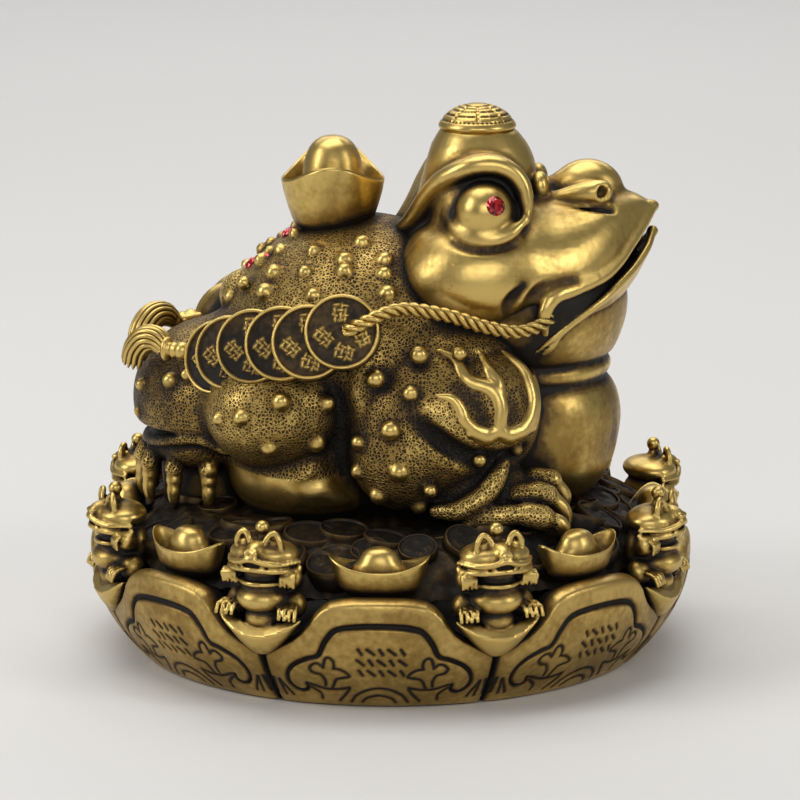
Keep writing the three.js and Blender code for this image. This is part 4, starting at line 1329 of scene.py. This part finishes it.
# The toad
TOAD = ("toad", "toad_brass", LIFT)
cast_piece("toad_head", head, polished, *TOAD, stain_and_shade=head_stain_and_shade, edge_gain=0.9, flat=0.2)
cast_piece("toad_crown", cap, polished, *TOAD, stain_and_shade=cap_stain, edge_gain=0.5)
cast_piece("toad_throat", throat, polished, *TOAD, stain_and_shade=throat_shade_and_reflection, edge_gain=0.6)
cast_piece("toad_body", body, worn, *TOAD, pits=body_pits, stain_and_shade=body_stain_and_shade, edge_gain=0.6, flat=0.14)
for side, word in zip(SIDES, ("right", "left")):
    cast_piece(f"flames_{word}", flames, polished, None, "toad_brass", LIFT, side=side, extra=0.05)
    cast_piece(f"tassel_knot_{word}", trim, worn, None, "toad_brass", LIFT, side=side, extra=0.3)
    vertices, quads, ink = tassel_strands()
    vertices = vertices * (1, side, 1) + LIFT
    skin_piece(f"tassel_{word}", vertices, quads, worn, None, "toad_brass", extra=0.8 * ink + 0.38)
    vertices, quads, ink = cord_strands(side)
    skin_piece(f"cord_{word}", vertices + LIFT, quads, worn, None, "toad_brass", extra=1.6 * ink)
    vertices, quads, ink = string_coins(side)
    looks = {"hollow_gain": 1.2, "extra": ink}
    skin_piece(f"string_coins_{word}", vertices + LIFT, quads, worn, None, "toad_brass", **looks)
skin_piece("ingot_on_back", *back_ingot, polished, "back_ingot", "ingot_brass", whole=True, extra=0.38)

# The base
for number, turn in enumerate(petal_turns):
    vertices, quads, ink = petal_skin(number)
    patina_and_shade = patina_and_shade_of(vertices, quads, extra=ink * 0.85 + 0.32, flat=0.24, hollow_gain=2.2)
    add_piece(f"petal_{number + 1}", vertices, quads, petal_brass, "lotus_base", "base_brass", patina_and_shade)
    cast_piece(f"rim_toad_{number + 1}", rim_toad, worn, None, "base_brass", RIM_TOAD_PLACE,
               turn + HALF_PETAL, edge_gain=1.1, extra=0.26)
    skin_piece(f"rim_ingot_{number + 1}", *rim_ingots[number], worn, None, "base_brass", extra=0.34)
vertices, quads, ink = bed_skin()
add_piece("bed", vertices, quads, ground, None, "base_brass", ink)
vertices, quads, ink = bed_coins()
add_piece("bed_coins", *facing_out(vertices, quads), ground, None, "base_brass", ink)


# The stones, each where the part's solids have it

def gem_skin(diameter):
    """A round stone facing +Z: an eight-sided table, kite and half facets, a girdle and a pointed back."""
    crown, depth = 0.24 * diameter, 0.26 * diameter
    angle = turns(16)
    wavy = np.where(np.arange(16) % 2 == 0, 1.0, 0.92)
    rings = []
    for share, height, edge in (
        (0.02, crown, 1), (0.56, crown, 1), (0.8, 0.62 * crown, wavy), (1, 0.12, 1), (1, -0.1, 1),
        (0.02, -depth, 1),
    ):
        reach = diameter / 2 * share * edge
        rings.append(np.stack([reach * np.cos(angle), reach * np.sin(angle), np.full(16, height)], 1))
    return ringed(rings)


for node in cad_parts:
    if "gem" not in node:
        continue
    if node.startswith("eye"):
        side = -1 if node.endswith("right") else 1
        outward = Vector((0.36, 0.84 * side, 0.3)).normalized()
        centre = EYE * (1, side, 1) + np.array(outward) * EYE_RADIUS + LIFT
        vertices, quads = gem_skin(EYE_GEM_DIAMETER)
    else:
        centre = sum(np.array(corner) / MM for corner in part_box(node)) / 2
        outward = (centre - LIFT - BACK[0]) / np.array(BACK[1]) ** 2
        vertices, quads = gem_skin(BACK_GEM_DIAMETER)
    vertices, quads = facing_out(faced(vertices, outward, "Z", "Y") + centre, quads)
    patina_and_shade = np.zeros(len(vertices))
    add_piece(f"stone_{node}", vertices, quads, stone, node, "red_stone", patina_and_shade, smooth=False, whole=True)


# Floor, lights and camera

def add_floor():
    """A pale sheet that runs back and curves up behind."""
    bend = np.linspace(0, math.pi / 2, 24)
    line = [(-3.5, 0.0)] + [(2.2 + 1.2 * math.sin(a), 1.2 - 1.2 * math.cos(a)) for a in bend] + [(3.4, 5.0)]
    vertices = [(x, y, z) for y, z in line for x in (-5.0, 5.0)]
    quads = [(2 * i, 2 * i + 1, 2 * i + 3, 2 * i + 2) for i in range(len(line) - 1)]
    mesh = bpy.data.meshes.new("floor")
    mesh.from_pydata(vertices, [], quads)
    mesh.polygons.foreach_set("use_smooth", np.ones(len(mesh.polygons), bool))
    look = Shading("floor")
    look.feed(look.shader, {"Base Color": (0.72, 0.71, 0.695, 1), "Roughness": 0.75})
    mesh.materials.append(look.material)
    floor = bpy.data.objects.new("floor", mesh)
    bpy.context.scene.collection.objects.link(floor)


def add_light(name, place, size, power, colour=(1, 1, 1), target=(0, 0, 0.09)):
    light = bpy.data.lights.new(name, "AREA")
    light.shape = "RECTANGLE"
    light.size, light.size_y = size
    light.energy = power
    light.color = colour
    lamp = bpy.data.objects.new(name, light)
    lamp.location = place
    lamp.rotation_euler = (Vector(target) - Vector(place)).to_track_quat("-Z", "Y").to_euler()
    bpy.context.scene.collection.objects.link(lamp)


def add_camera(distance, rise, lens, target):
    """The photo's view, from the toad's right."""
    sight = Vector((0, math.cos(rise), -math.sin(rise)))
    camera_data = bpy.data.cameras.new("camera")
    camera_data.lens = lens
    camera_data.sensor_width = 36
    camera = bpy.data.objects.new("camera", camera_data)
    camera.location = Vector(target) - sight * distance
    camera.rotation_euler = sight.to_track_quat("-Z", "Y").to_euler()
    bpy.context.scene.collection.objects.link(camera)
    bpy.context.scene.camera = camera


add_floor()
add_light("overhead", (-0.15, 0.25, 1.5), (1.5, 1.1), 13.4, (1.0, 0.985, 0.955))
add_light("left_window", (-1.5, -0.5, 0.9), (0.6, 1.1), 11, (1.0, 0.99, 0.98))
add_light("right_window", (1.35, -0.7, 0.75), (0.35, 0.8), 5, (1.0, 0.98, 0.95))
add_light("behind", (0.0, 1.9, 1.5), (2.6, 1.2), 18.5, target=(0, 1.95, 0))
add_light("front", (0.1, -1.7, 0.75), (1.3, 0.8), 7.5, (1.0, 0.99, 0.97))
add_camera(1.5, math.radians(12), 186.5, (0.0034, 0, 0.089))

world = bpy.data.worlds.new("world")
world.use_nodes = True
world.node_tree.nodes["Background"].inputs["Color"].default_value = (0.9, 0.92, 0.95, 1)
world.node_tree.nodes["Background"].inputs["Strength"].default_value = 0.24
bpy.context.scene.world = world
bpy.context.scene.view_settings.view_transform = "Standard"
